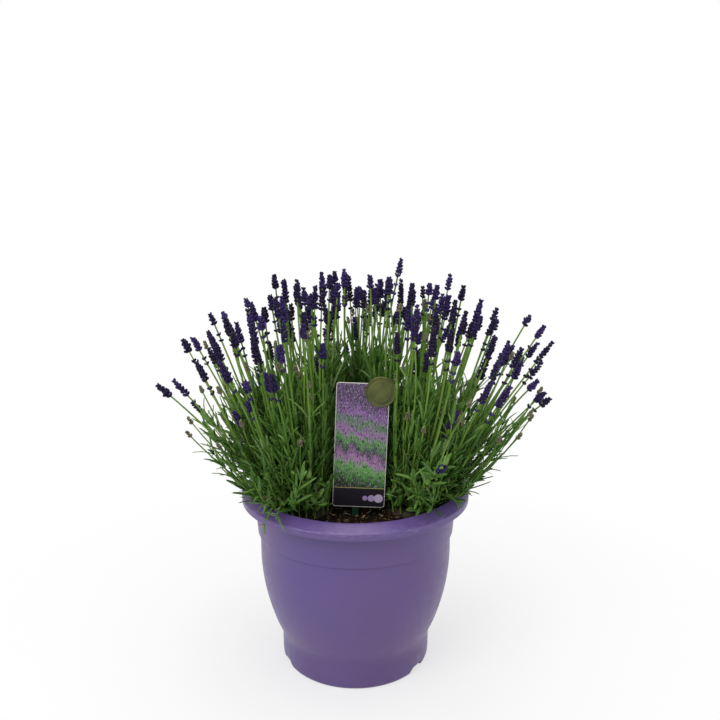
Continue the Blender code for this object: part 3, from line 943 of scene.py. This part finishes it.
leaf = {
    "length": (0.040, 0.072),
    "width": 0.0056,
    "thickness": 0.0042,
    "taper": 0.35,
    "lean": (4, 20),
    "lowLean": 7,
    "pairGap": (0.016, 0.027),
    "startHeight": 0.012,
    "oldAge": 0.985,
    "smallLean": (8, 34),
    "smallShare": (0.35, 0.6),
    "smallThickness": 0.0034,
    "stemDrop": (0.125, 0.20),
    "stemSize": 0.92,
    "bends": ((0.5, 0.9), (1.6, 1.0), (-0.9, 0.85), (2.8, 0.95)),
    "margin": 0.003,
}
shoot = {
    "count": 92,
    "turn": 0.9,
    "drop": (0.115, 0.27),
    "sway": 0.020,
    "steps": 8,
    "stemWidth": 0.0021,
    "looseSteps": 9,
    "looseSway": 0.010,
    "sideCount": 18,
    "sideReach": (0.165, 0.246),
    "sideTop": (0.310, 0.400),
    "sideTurn": 78,
    "sideStart": 0.35,
    "sideShare": 0.82,
    "sideMargin": 0.01,
    "sideLift": -0.022,
    "sideSize": 0.72,
    "hangingLift": 0.028,
    "hangingSize": 0.40,
    "risingSize": 0.78,
    "cadShoots": 4,
}
young = {
    "count": 60,
    "reach": (0.030, 0.062),
    "edge": 0.134,
    "footDepth": 0.006,
    "height": (0.022, 0.060),
    "pairGap": 0.008,
    "length": (0.018, 0.028),
    "width": 0.0086,
    "bow": (0.1, 0.4),
    "lean": (38, 66),
    "leanDrop": 30,
    "tint": (0.45, 0.94),
    "dryShare": 0.07,
    "dryTint": 0.985,
}
# stems that lean out of the fan: clump, bearing and reach of the foot on the crown, tip of the spike
looseStems = (
    ("left", 170, 0.043, (-0.2700, -0.028, 0.408)),
    ("right", 5, 0.043, (0.2700, -0.016, 0.386)),
    ("right", -100, 0.043, (0.0990, -0.232, 0.362)),
    ("back", 100, 0.043, (-0.0450, 0.228, 0.470)),
    ("back", -75, 0.020, (0.0640, 0.020, 0.576)),
    ("left", 200, 0.040, (-0.235, -0.075, 0.425)),
    ("left", 160, 0.042, (-0.236, 0.020, 0.372)),
    ("left", -120, 0.040, (-0.125, -0.170, 0.420)),
    ("left", -95, 0.038, (-0.105, -0.150, 0.450)),
    ("left", 215, 0.036, (-0.150, -0.120, 0.395)),
    ("right", 0, 0.030, (0.262, 0.004, 0.484)),
    ("right", 20, 0.034, (0.250, 0.040, 0.494)),
    ("right", -8, 0.036, (0.266, -0.030, 0.468)),
    ("right", 12, 0.038, (0.258, 0.020, 0.458)),
    ("right", -16, 0.038, (0.244, -0.062, 0.446)),
    ("right", 26, 0.040, (0.246, 0.060, 0.430)),
    ("right", -20, 0.042, (0.246, -0.080, 0.410)),
    ("right", 15, 0.042, (0.262, 0.030, 0.400)),
    ("back", 60, 0.042, (0.140, 0.190, 0.440)),
    ("back", 130, 0.042, (-0.150, 0.170, 0.420)),
    ("left", 95, 0.028, (-0.108, -0.020, 0.556)),
    ("left", 85, 0.024, (-0.094, -0.030, 0.551)),
    ("left", 130, 0.030, (-0.148, -0.010, 0.524)),
    ("left", 150, 0.032, (-0.200, 0.000, 0.502)),
    ("right", 85, 0.028, (0.128, -0.010, 0.556)),
    ("right", 50, 0.030, (0.152, 0.030, 0.536)),
    ("right", 30, 0.030, (0.174, 0.010, 0.519)),
    ("right", 15, 0.030, (0.200, 0.030, 0.505)),
)
# closed heads on thin stems that sweep out at the sides
greenStems = (
    ("right", 2, 0.040, (0.262, 0.000, 0.398)),
    ("right", -10, 0.042, (0.242, -0.035, 0.375)),
    ("right", 8, 0.042, (0.254, 0.012, 0.355)),
    ("right", -24, 0.042, (0.222, -0.062, 0.350)),
    ("right", 18, 0.041, (0.236, 0.048, 0.372)),
    ("right", -36, 0.041, (0.188, -0.096, 0.356)),
    ("left", 175, 0.042, (-0.233, -0.030, 0.343)),
    ("left", -165, 0.042, (-0.222, -0.062, 0.372)),
    ("left", 158, 0.041, (-0.226, 0.034, 0.392)),
    ("left", -148, 0.041, (-0.176, -0.104, 0.350)),
    ("back", 62, 0.041, (0.118, 0.192, 0.372)),
    ("back", 92, 0.042, (0.010, 0.224, 0.392)),
    ("back", 122, 0.042, (-0.112, 0.190, 0.366)),
)
# shoots that arch over the rim: clump, bearing and reach of the foot, tip
hangingShoots = (
    ("left", -118, 0.040, (-0.112, -0.146, 0.256)),
    ("left", -108, 0.038, (-0.098, -0.142, 0.262)),
    ("left", -126, 0.041, (-0.122, -0.132, 0.268)),
    ("left", 172, 0.042, (-0.158, -0.060, 0.292)),
    ("right", -12, 0.042, (0.152, -0.062, 0.262)),
    ("right", 4, 0.042, (0.160, -0.020, 0.276)),
    ("right", -50, 0.040, (0.138, -0.106, 0.262)),
    ("back", 70, 0.042, (0.060, 0.182, 0.262)),
    ("back", 118, 0.042, (-0.075, 0.178, 0.258)),
)
# leafy shoots that bend out over the rim and then rise
risingShoots = (
    ("right", -5, 0.042, (0.214, -0.020, 0.338)),
    ("right", 10, 0.042, (0.222, 0.030, 0.352)),
    ("right", -22, 0.042, (0.206, -0.066, 0.346)),
    ("right", -38, 0.040, (0.176, -0.098, 0.330)),
    ("left", 182, 0.042, (-0.206, -0.020, 0.344)),
    ("left", -160, 0.042, (-0.196, -0.066, 0.336)),
    ("left", 165, 0.042, (-0.214, 0.030, 0.356)),
    ("back", 60, 0.042, (0.104, 0.188, 0.346)),
    ("back", 95, 0.042, (-0.010, 0.206, 0.350)),
    ("back", 124, 0.042, (-0.116, 0.182, 0.340)),
)


def hidesCard(point):
    # true in the space before the label, which stays clear
    x, y, z = point
    beside = abs(x - cardCentre.x) > label["clearSide"]
    return not beside and y < cardHigh.y + label["clearDepth"] and z < cardHigh.z


def insideBox(point, margin):
    return all(cadBox[0][i] - margin <= point[i] <= cadBox[1][i] + margin for i in range(3))


def fanPoint(clump, slot, z, slots=None, turn=0.0):
    crown = crowns[clump]
    outward = Vector((crown.x, crown.y)).normalized()
    across = Vector((-outward.y, outward.x))
    share = math.sqrt((slot + 0.5) / (slots or fan["slots"]))
    angle = slot * goldenAngle + turn
    along, side = share * math.cos(angle), share * math.sin(angle)
    foot = crown.xy + fan["baseRadius"] * (along * outward + side * across)
    reach = fan["topMiddle"] + fan["topReach"] * along
    top = reach * outward + fan["topSpread"] * reach * side * across
    rise = (z - fan["startZ"]) / (fan["topZ"] - fan["startZ"])
    travel = rise * (1 + fan["curve"] * (1 - rise))
    flat = foot + travel * (top - foot)
    return Vector((flat.x, flat.y, z))


def fanPath(clump, slot, tip, steps, slots=None, turn=0.0):
    start = fan["startZ"]
    return [fanPoint(clump, slot, start + (tip - start) * k / steps, slots, turn) for k in range(steps + 1)]


def domeHeight(point):
    # how high the flowers stand at a place, lower towards the outside
    return flower["tipMiddle"] - flower["tipDrop"] * (point.xy.length / flower["dropRadius"]) ** 2


def tipHeight(clump, slot):
    uneven = (slot * 0.6180339887 + 0.37 * len(clump)) % 1
    return domeHeight(fanPoint(clump, slot, fan["topZ"])) - flower["uneven"] * uneven


def loosePath(clump, bearing, reach, tip, steps, lift):
    crown = crowns[clump]
    angle = math.radians(bearing)
    foot = Vector((crown.x + reach * math.cos(angle), crown.y + reach * math.sin(angle), crown.z))
    end = Vector(tip)
    middle = foot.lerp(end, 0.45) + Vector((0, 0, lift))
    return [foot.lerp(middle, k / steps).lerp(middle.lerp(end, k / steps), k / steps)
            for k in range(steps + 1)]


def loosePaths(stems, clump, steps, lift):
    # paths of the listed stems that grow from one clump
    return [loosePath(clump, bearing, reach, tip, steps, lift)
            for home, bearing, reach, tip in stems if home == clump]


def sway(path, dice, width):
    # a gentle bow, nothing at the foot and at the tip
    angle = dice.uniform(0, 2 * math.pi)
    push = dice.uniform(0.2, 1) * width
    bow = Vector((math.cos(angle), math.sin(angle), 0)) * push
    last = len(path) - 1
    return [p + bow * math.sin(math.pi * i / last) ** 1.5 * (i / last) for i, p in enumerate(path)]


def along(path, share):
    # point and direction at a share of a path's length
    lengths = [(b - a).length for a, b in zip(path, path[1:])]
    left = share * sum(lengths)
    for a, b, length in zip(path, path[1:], lengths):
        if left <= length or b is path[-1]:
            return a.lerp(b, min(left / length, 1)), (b - a).normalized()
        left -= length


def pathLength(path):
    return sum((b - a).length for a, b in zip(path, path[1:]))


def stemPaths(clump, dice):
    # the fixed slots hold the stems that the CAD has
    paths = []
    for slot in range(fan["slots"]):
        tip = tipHeight(clump, slot)
        fixed = slot % fan["fixedStep"] == fan["fixedSlot"]
        if not fixed:
            if fanPoint(clump, slot, tip).x < flower["leftEdge"]:
                continue
            short = dice.random() < flower["shortShare"]
            tip -= dice.uniform(*(flower["shortDrop"] if short else flower["tallDrop"]))
        paths.append(sway(fanPath(clump, slot, tip, fan["steps"]), dice, 0 if fixed else fan["swayWidth"]))
    return paths + loosePaths(looseStems, clump, fan["steps"], fan["looseLift"])


def greenPaths(clump, dice):
    # thin stems between the others that carry closed heads
    paths = []
    slots, turn = flower["greenSlots"], flower["greenTurn"]
    for _ in range(flower["greenTops"]):
        slot = dice.randrange(slots)
        tip = domeHeight(fanPoint(clump, slot, fan["topZ"], slots, turn))
        tip -= dice.uniform(*flower["greenDrop"])
        paths.append(sway(fanPath(clump, slot, tip, fan["steps"], slots, turn), dice, flower["greenSway"]))
    for path in loosePaths(greenStems, clump, fan["steps"], fan["sweepLift"]):
        paths.append(sway(path, dice, flower["greenSweepSway"]))
    return paths


def shootPaths(clump, dice):
    # pairs of a path and the size of its leaves
    found = []
    slots, turn = shoot["count"], shoot["turn"]
    for slot in range(slots):
        tip = domeHeight(fanPoint(clump, slot, fan["topZ"], slots, turn)) - dice.uniform(*shoot["drop"])
        path = sway(fanPath(clump, slot, tip, shoot["steps"], slots, turn), dice, shoot["sway"])
        if not any(hidesCard(p) for p in path):
            found.append((path, 1.0))
    steps, width = shoot["looseSteps"], shoot["looseSway"]
    outward = math.degrees(math.atan2(crowns[clump].y, crowns[clump].x))
    for _ in range(shoot["sideCount"]):
        bearing = outward + shoot["sideTurn"] * dice.uniform(-1, 1)
        angle = math.radians(bearing)
        reach = dice.uniform(*shoot["sideReach"])
        bearingOut = Vector((math.cos(angle), math.sin(angle)))
        spot = crowns[clump].xy * shoot["sideStart"] + bearingOut * reach * shoot["sideShare"]
        tip = (spot.x, spot.y, dice.uniform(*shoot["sideTop"]))
        if insideBox(tip, -shoot["sideMargin"]) and abs(spot.x - cardCentre.x) > label["clearShoots"]:
            path = loosePath(clump, bearing, fan["baseRadius"], tip, steps, shoot["sideLift"])
            found.append((sway(path, dice, width), shoot["sideSize"]))
    for path in loosePaths(hangingShoots, clump, steps, shoot["hangingLift"]):
        found.append((path, shoot["hangingSize"]))
    for path in loosePaths(risingShoots, clump, steps, fan["sweepLift"]):
        found.append((sway(path, dice, width), shoot["risingSize"]))
    return found


def outFrom(axis, angle):
    # the direction square to an axis, at an angle round it
    first = axis.orthogonal().normalized()
    return first * math.cos(angle) + axis.cross(first) * math.sin(angle)


def bladeTurn(axis, angle, lean):
    # direction and turn of a blade that leans out from an axis
    out = outFrom(axis, angle)
    aim = axis * math.cos(lean) + out * math.sin(lean)
    return aim, facing(aim, axis * math.sin(lean) - out * math.cos(lean))


def youngShoots(points, bundle, clump, dice):
    # short new growth with broad leaves around the foot of each plant
    crown = crowns[clump]
    for _ in range(young["count"]):
        angle = dice.uniform(0, 2 * math.pi)
        reach = dice.uniform(*young["reach"])
        outward = Vector((math.cos(angle), math.sin(angle), 0))
        foot = crown + outward * reach - upward * young["footDepth"]
        if foot.xy.length > young["edge"] or hidesCard(foot):
            continue
        height = dice.uniform(*young["height"])
        lean = outward * height * dice.uniform(*young["bow"])
        path = [foot + lean * (k / 6) ** 1.5 + upward * height * k / 6 for k in range(7)]
        bundle.append([(p, 0.8 - 0.06 * i) for i, p in enumerate(path)])
        turn = dice.uniform(0, math.pi)
        pairs = max(3, int(height / young["pairGap"]))
        for k in range(pairs):
            share = (k + 1) / pairs
            centre, axis = along(path, share)
            for side in (0, math.pi):
                tilt = math.radians(dice.uniform(*young["lean"]) - young["leanDrop"] * share)
                aim, facingOut = bladeTurn(axis, turn + side, tilt)
                length = dice.uniform(*young["length"]) * (1 - leaf["taper"] * share)
                if hidesCard(centre + aim * length):
                    continue
                fresh = dice.random() > young["dryShare"]
                tint = dice.uniform(*young["tint"]) if fresh else young["dryTint"]
                size = (young["width"] * dice.uniform(0.8, 1.2), leaf["thickness"], length)
                points.append((centre, facingOut, size, dice.randrange(len(leaf["bends"])), tint))
            turn += math.pi / 2 + dice.uniform(-0.2, 0.2)


def closePoles(builder, foot, rings, tip):
    # a skin from a single corner over the rings to another
    sides = len(rings[0])
    for i in range(sides):
        builder.faces.new((foot, rings[0][(i + 1) % sides], rings[0][i]))
        builder.faces.new((tip, rings[-1][i], rings[-1][(i + 1) % sides]))
    for lower, upper in zip(rings, rings[1:]):
        joinRings(builder, lower, upper)


def smoothShape(name, builder):
    mesh = meshFromBuilder(name, builder)
    mesh.shade_smooth()
    return mesh


def budShape(name, sides, swell):
    # a ribbed calyx one unit long, from a narrow foot to a blunt open tip
    builder = bmesh.new()
    foot = builder.verts.new((0, 0, 0))
    rings = []
    for z, width in ((0.14, 0.30), (0.45, 0.50 * swell), (0.80, 0.46 * swell), (0.97, 0.30)):
        ring = []
        for i in range(sides):
            angle = 2 * math.pi * (i + 0.5) / sides
            ring.append(builder.verts.new((width * math.cos(angle), width * math.sin(angle), z)))
        rings.append(ring)
    tip = builder.verts.new((0, 0, 1.0))
    closePoles(builder, foot, rings, tip)
    return smoothShape(name, builder)


def addWhorl(points, dice, centre, axis, buds, spread, size, tint, offset):
    for i in range(buds):
        out = outFrom(axis, offset + 2 * math.pi * i / buds + dice.uniform(-0.2, 0.2))
        lean = spread * dice.uniform(0.75, 1.25)
        aim = axis * math.cos(lean) + out * math.sin(lean)
        spot = centre + out * 0.0009 + axis * dice.uniform(-0.0008, 0.0008)
        long = flower["budLength"] * size * dice.uniform(0.8, 1.15)
        wide = flower["budWidth"] * size * dice.uniform(0.85, 1.15)
        points.append((spot, facing(aim, out), (wide, wide, long), dice.choice((0, 1)), tint()))


def addSpike(points, path, dice):
    # whorls of buds up the end of a stem, and often a lone whorl below them
    total = pathLength(path)
    shortest, longest = flower["spikeLength"]
    most, fewest, low = flower["whorlBuds"]
    length = shortest + (longest - shortest) * dice.random() ** 1.2
    hue = dice.random()
    count = max(4, round(length / flower["whorlGap"]))
    offset = dice.uniform(0, math.pi)
    girth = dice.uniform(0.86, 1.08)

    def tint():
        return 0.1 + 0.899 * (0.68 * hue + 0.32 * dice.random())

    for rank in range(count):
        grade = rank / (count - 1)
        centre, axis = along(path, (total - length + 0.003 + (length - 0.008) * grade) / total)
        swell = 1.04 - 0.42 * max(grade - 0.55, 0) - 0.5 * max(0.15 - grade, 0)
        size = girth * swell * dice.uniform(0.9, 1.08)
        spread = flower["whorlSpread"] - flower["spreadDrop"] * grade
        addWhorl(points, dice, centre, axis, most if grade < 0.8 else fewest, spread, size, tint,
                 offset + rank * 0.45)
    below = total - length
    for _ in range(dice.choice((0, 1, 1, 2))):
        below -= dice.uniform(*flower["lowGap"])
        centre, axis = along(path, below / total)
        size = flower["lowSize"] * girth
        addWhorl(points, dice, centre, axis, low, flower["lowSpread"], size, tint, offset)


def addGreenTop(points, path, dice):
    # a head that is still closed, small and green-brown
    total = pathLength(path)
    for rank, height in enumerate(flower["greenWhorls"]):
        centre, axis = along(path, (total - height) / total)
        addWhorl(points, dice, centre, axis, 5, 0.42 - 0.1 * rank, 0.8 - 0.08 * rank,
                 lambda: 0.07 * dice.random(), rank)


def plantFinishes():
    buds = naturalFinish(
        "lavenderBuds", 0.72, 0.22, "tint",
        [(0.000, (0.205, 0.215, 0.105)), (0.075, (0.155, 0.125, 0.085)), (0.092, (0.120, 0.085, 0.065)),
         (0.100, (0.026, 0.014, 0.036)), (0.250, (0.013, 0.007, 0.032)), (0.500, (0.019, 0.010, 0.054)),
         (0.750, (0.028, 0.015, 0.082)), (0.930, (0.058, 0.034, 0.160)), (1.000, (0.045, 0.030, 0.085))],
        (800, 3), [(0.32, (0.45, 0.45, 0.50)), (0.66, (1.25, 1.2, 1.3))], ((800, 3), 0.4, 0.0003))
    stems = naturalFinish(
        "flowerStems", 0.55, 0.25, (9, 2),
        [(0.35, (0.092, 0.205, 0.022)), (0.50, (0.142, 0.272, 0.034)), (0.68, (0.200, 0.330, 0.056))],
        (30, 3, (1, 1, 0.25)), greys((0.3, 0.72), (0.7, 1.1)), ((30, 3, (1, 1, 0.25)), 0.3, 0.0003))
    blades = naturalFinish(
        "lavenderLeaves", 0.55, 0.28, "tint",
        [(0.00, (0.022, 0.070, 0.010)), (0.30, (0.045, 0.125, 0.017)), (0.60, (0.090, 0.205, 0.030)),
         (0.85, (0.150, 0.290, 0.058)), (0.955, (0.230, 0.350, 0.130)), (0.975, (0.200, 0.185, 0.085)),
         (1.00, (0.270, 0.225, 0.125))],
        (160, 3), [(0.3, (0.70, 0.70, 0.70)), (0.7, (1.15, 1.15, 1.12))], ((160, 3), 0.3, 0.0004))
    bark = naturalFinish(
        "woodyBark", 0.85, 0.5, (120, 4, (1, 1, 0.3)),
        [(0.3, (0.008, 0.006, 0.004)), (0.55, (0.026, 0.018, 0.011)), (0.75, (0.085, 0.062, 0.040))],
        bump=((120, 4, (1, 1, 0.3)), 0.8, 0.0012))
    return buds, stems, blades, bark


def leafShape(name, bend, belly):
    # a narrow blade one unit long with a sunken midrib, closed on all sides
    builder = bmesh.new()
    foot = builder.verts.new((0, 0, 0))
    rings = []
    for t in (0.10, 0.38, 0.70, 0.92):
        width = 0.5 * (math.sin(math.pi * (0.12 + 0.80 * t) ** belly) ** 0.7)
        y = -bend * t * t
        corners = ((-width, y + 0.05), (0, y - 0.02), (width, y + 0.05), (0, y - 0.16))
        rings.append([builder.verts.new((x, h, t)) for x, h in corners])
    tip = builder.verts.new((0, -bend, 1))
    closePoles(builder, foot, rings, tip)
    return smoothShape(name, builder)


def addLeaves(points, path, dice, topZ, sizeScale):
    # opposite pairs, each turned a quarter from the last, with tufts of small leaves in their axils
    total = pathLength(path)
    height = leaf["startHeight"]
    angle = dice.uniform(0, math.pi)
    while height < total - 0.002:
        centre, axis = along(path, height / total)
        if centre.z > topZ:
            break
        rise = min(max((centre.z - fan["startZ"]) / (topZ - fan["startZ"]), 0), 1)
        for side in (0, math.pi):
            lean = math.radians(dice.uniform(*leaf["lean"]) + leaf["lowLean"] * (1 - rise))
            aim, facingOut = bladeTurn(axis, angle + side, lean)
            length = dice.uniform(*leaf["length"]) * sizeScale * (1 - leaf["taper"] * rise)
            width = leaf["width"] * dice.uniform(0.8, 1.2) * sizeScale
            length *= 0.72 + 0.28 * min(rise / 0.35, 1)
            age = dice.random()
            tint = min(0.22 + 0.28 * rise + 0.50 * age + (0.30 if sizeScale < 0.5 else 0), 0.952)
            if age > leaf["oldAge"] and rise < 0.3:
                tint = 0.97 + 2 * (age - leaf["oldAge"])
            tip = centre + aim * length
            if insideBox(tip, leaf["margin"]) and not hidesCard(tip) and not hidesCard(centre):
                size = (width, leaf["thickness"], length)
                points.append((centre, facingOut, size, dice.randrange(len(leaf["bends"])), tint))
            for _ in range(dice.choice((0, 0, 1, 1, 2))):
                twist = angle + side + dice.uniform(-0.9, 0.9)
                aim, facingOut = bladeTurn(axis, twist, math.radians(dice.uniform(*leaf["smallLean"])))
                small = length * dice.uniform(*leaf["smallShare"])
                if hidesCard(centre + aim * small) or hidesCard(centre):
                    continue
                size = (0.7 * width, leaf["smallThickness"], small)
                pale = min(tint + 0.08, 0.94)
                points.append((centre, facingOut, size, dice.randrange(len(leaf["bends"])), pale))
        angle += math.pi / 2 + dice.uniform(-0.2, 0.2)
        height += dice.uniform(*leaf["pairGap"])


crownMound = {
    "segments": 72,
    "edge": 0.003,
    "rise": 0.0085,
    "unevenness": 0.10,
    "stubDepth": 0.004,
    "stubHeight": (0.012, 0.030),
    "stubWidth": 0.0026,
}


def buildCrown(clump, material):
    # a low knotted mound with short woody stubs that the shoots grow from
    low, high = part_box(f"woody_crown_{clump}")
    radius = (high.x - low.x) / 2
    crown = crowns[clump]
    bottom = low.z
    edge = bottom + crownMound["edge"]
    points = [Vector((0, bottom)), Vector((radius, bottom)), Vector((radius + 0.0005, edge))]
    for i in range(1, 12):
        bend = i / 12 * math.pi / 2
        points.append(Vector((radius * math.cos(bend), edge + crownMound["rise"] * math.sin(bend))))
    points.append(Vector((0, edge + crownMound["rise"])))

    def knot(corner, angle):
        spot = corner * 90 + Vector((crown.x, crown.y, 0)) * 50
        lump = 1 + crownMound["unevenness"] * noise.noise(spot)
        drop = 0.003 * noise.noise(spot * 1.7 + Vector((5, 5, 5))) if corner.z > bottom + 0.002 else 0
        return Vector((corner.x * lump, corner.y * lump, corner.z + drop))

    builder = bmesh.new()
    turnProfile(builder, points, crownMound["segments"], knot)
    bmesh.ops.translate(builder, verts=builder.verts, vec=(crown.x, crown.y, 0))
    dice = random.Random(f"crown {clump}")
    for slot in range(0, fan["slots"], 2):
        base = fanPoint(clump, slot, fan["startZ"] - crownMound["stubDepth"])
        top = fanPoint(clump, slot, fan["startZ"] + dice.uniform(*crownMound["stubHeight"]))
        direction = (top - base).normalized()
        side = direction.orthogonal().normalized()
        other = direction.cross(side)
        rings = []
        for k in range(4):
            centre = base.lerp(top, k / 3)
            width = crownMound["stubWidth"] * (1 - 0.2 * k) * dice.uniform(0.85, 1.1)
            rings.append([builder.verts.new(centre + width * (math.cos(a) * side + math.sin(a) * other))
                          for a in (math.pi * j / 3 for j in range(6))])
        closeTube(builder, rings)
    piece = linkMesh(f"woodyBase_{clump}", meshFromBuilder("woodyBase", builder), [material], 60)
    finish(piece, "crown_wood", f"woody_crown_{clump}")


def cadNames(kind, clump, perClump, looseCount=0):
    # names of the CAD's nodes that a plant's piece stands for
    first = clumps.index(clump) * perClump + 1
    afterAll = len(clumps) * perClump + 1
    numbers = list(range(first, first + perClump))
    numbers += [n for n, stem in enumerate(looseStems[:looseCount], afterAll) if stem[0] == clump]
    return [f"{kind}_{n:02d}" for n in numbers]


def buildPlants():
    buds, stems, blades, bark = plantFinishes()
    sweep, place = stemTree(), scatterTree()
    budShelf = shapeShelf("budShelf", [budShape("bud0", 6, 1.0), budShape("bud1", 6, 1.15)])
    leafShelf = shapeShelf("leafShelf", [leafShape("leaf", *bends) for bends in leaf["bends"]])
    stemValues = {"Stem Width": flower["stemWidth"], "Material": stems}
    shootValues = {"Stem Width": shoot["stemWidth"], "Material": stems}
    budValues = {"Shapes": budShelf, "Overall Size": 1.0, "Material": buds}
    leafValues = {"Shapes": leafShelf, "Overall Size": 1.0, "Material": blades}
    for clump in clumps:
        buildCrown(clump, bark)
        dice = random.Random(f"plants {clump}")
        bundle, shootBundle, budPoints, leafPoints = [], [], [], []
        for path in stemPaths(clump, dice):
            last = len(path) - 1
            bundle.append([(p, 1.12 - 0.45 * i / last) for i, p in enumerate(path)])
            # the stem ends inside the spike's top whorl
            end, _ = along(path, 1 - 0.004 / pathLength(path))
            bundle[-1][-1] = (end, 0.5)
            addSpike(budPoints, path, dice)
            top = domeHeight(path[-1]) - dice.uniform(*leaf["stemDrop"])
            addLeaves(leafPoints, path, dice, top, leaf["stemSize"])
        for path in greenPaths(clump, dice):
            bundle.append([(p, 0.95 - 0.4 * i / fan["steps"]) for i, p in enumerate(path)])
            addGreenTop(budPoints, path, dice)
        for path, size in shootPaths(clump, dice):
            last = len(path) - 1
            shootBundle.append([(p, 1.1 - 0.6 * i / last) for i, p in enumerate(path)])
            addLeaves(leafPoints, path, dice, 1.0, size)
        youngShoots(leafPoints, shootBundle, clump, dice)
        perClump, loose = flower["cadStems"], flower["cadLooseStems"]
        for name, source, tree, values, slot, nodes in (
            ("flowerStems", curveBundle("stemCurves", bundle), sweep, stemValues, "stem_green",
             cadNames("flower_stem", clump, perClump, loose)),
            ("flowerSpikes", pointCloud("budPoints", budPoints), place, budValues, "spike_violet",
             cadNames("flower_spike", clump, perClump, loose)),
            ("shootStems", curveBundle("shootCurves", shootBundle), sweep, shootValues, "stem_green", []),
            ("leaves", pointCloud("leafPoints", leafPoints), place, leafValues, "leaf_green",
             cadNames("leafy_shoot", clump, shoot["cadShoots"])),
        ):
            finish(bakeTree(f"{name}_{clump}", source, tree, values), slot, *nodes)


# floor, lights and camera

studio = {
    "cameraPlace": (0.0065, -0.987, 0.628),
    "cameraPitch": math.radians(11),
    "lens": 36.2,
    "worldLight": 0.55,
    "floorSize": 12.0,
    "floorGrey": 0.82,
    "aimPoint": (0, 0, 0.28),
}
# name, place, size in metres and power in watts
lamps = (
    ("keyLight", (-1.0, -1.2, 1.7), 1.2, 20),
    ("fillLight", (1.5, -0.9, 1.2), 1.6, 5),
    ("topLight", (0.1, 0.1, 2.0), 1.6, 18),
)


def seenRays(tree):
    # 1 for what is seen, also in a reflection or through something clear, and 0 for what only gives light
    path = shaderNode(tree, "LightPath")
    seen = mathNode(tree, "MAXIMUM", path.outputs["Is Camera Ray"], path.outputs["Is Glossy Ray"])
    return mathNode(tree, "MAXIMUM", seen, path.outputs["Is Transmission Ray"])


def buildFloor():
    mesh = bpy.data.meshes.new("studioFloor")
    half = studio["floorSize"] / 2
    mesh.from_pydata([(-half, -half, 0), (half, -half, 0), (half, half, 0), (-half, half, 0)], [],
                     [(0, 1, 2, 3)])
    grey = studio["floorGrey"]
    material, tree, shader = newMaterial("paleFloor", 0.9, Base_Color=(grey, grey, grey, 1))
    # seen straight on, the floor is lifted towards white, fully so away from the object's shadow
    glow = shaderNode(tree, "Emission", Strength=1.0)
    place = shaderNode(tree, "TexCoord").outputs["Object"]
    away = shaderNode(tree, "VectorMath", {"Vector": place}, operation="LENGTH").outputs["Value"]
    lift = rampNode(tree, away, greys((0.0, 0.60), (0.25, 0.66), (0.75, 1)))
    mix = shaderNode(tree, "MixShader", {
        0: mathNode(tree, "MULTIPLY", seenRays(tree), lift),
        1: shader.outputs[0],
        2: glow.outputs[0],
    })
    tree.links.new(mix.outputs[0], tree.nodes["Material Output"].inputs[0])
    linkMesh("studioFloor", mesh, [material])


def buildLights():
    world = bpy.data.worlds.new("studioWorld")
    scene.world = world
    world.use_nodes = True
    tree = world.node_tree
    background = tree.nodes["Background"]
    background.inputs["Color"].default_value = (1, 1, 1, 1)
    lift = mathNode(tree, "MULTIPLY", seenRays(tree), 1 - studio["worldLight"])
    tree.links.new(mathNode(tree, "ADD", lift, studio["worldLight"]), background.inputs["Strength"])
    for name, place, size, power in lamps:
        lamp = bpy.data.lights.new(name, "AREA")
        lamp.energy = power
        lamp.size = size
        holder = bpy.data.objects.new(name, lamp)
        holder.location = place
        aim = Vector(studio["aimPoint"]) - Vector(place)
        holder.rotation_euler = aim.to_track_quat("-Z", "Y").to_euler()
        scene.collection.objects.link(holder)


def buildCamera():
    camera = bpy.data.objects.new("camera", bpy.data.cameras.new("camera"))
    camera.data.lens = studio["lens"]
    camera.data.sensor_width = 36
    camera.data.clip_end = 50
    camera.location = studio["cameraPlace"]
    camera.rotation_euler = (math.pi / 2 - studio["cameraPitch"], 0, 0)
    scene.collection.objects.link(camera)
    scene.camera = camera
    scene.view_settings.view_transform = "Standard"


print("pot")
buildPot()
print("soil")
buildSoil()
print("label")
buildCard()
buildBadge()
buildStake()
print("plants")
buildPlants()
print("studio")
buildFloor()
buildLights()
buildCamera()

print("cad", [[round(v, 4) for v in c] for c in cadBox])
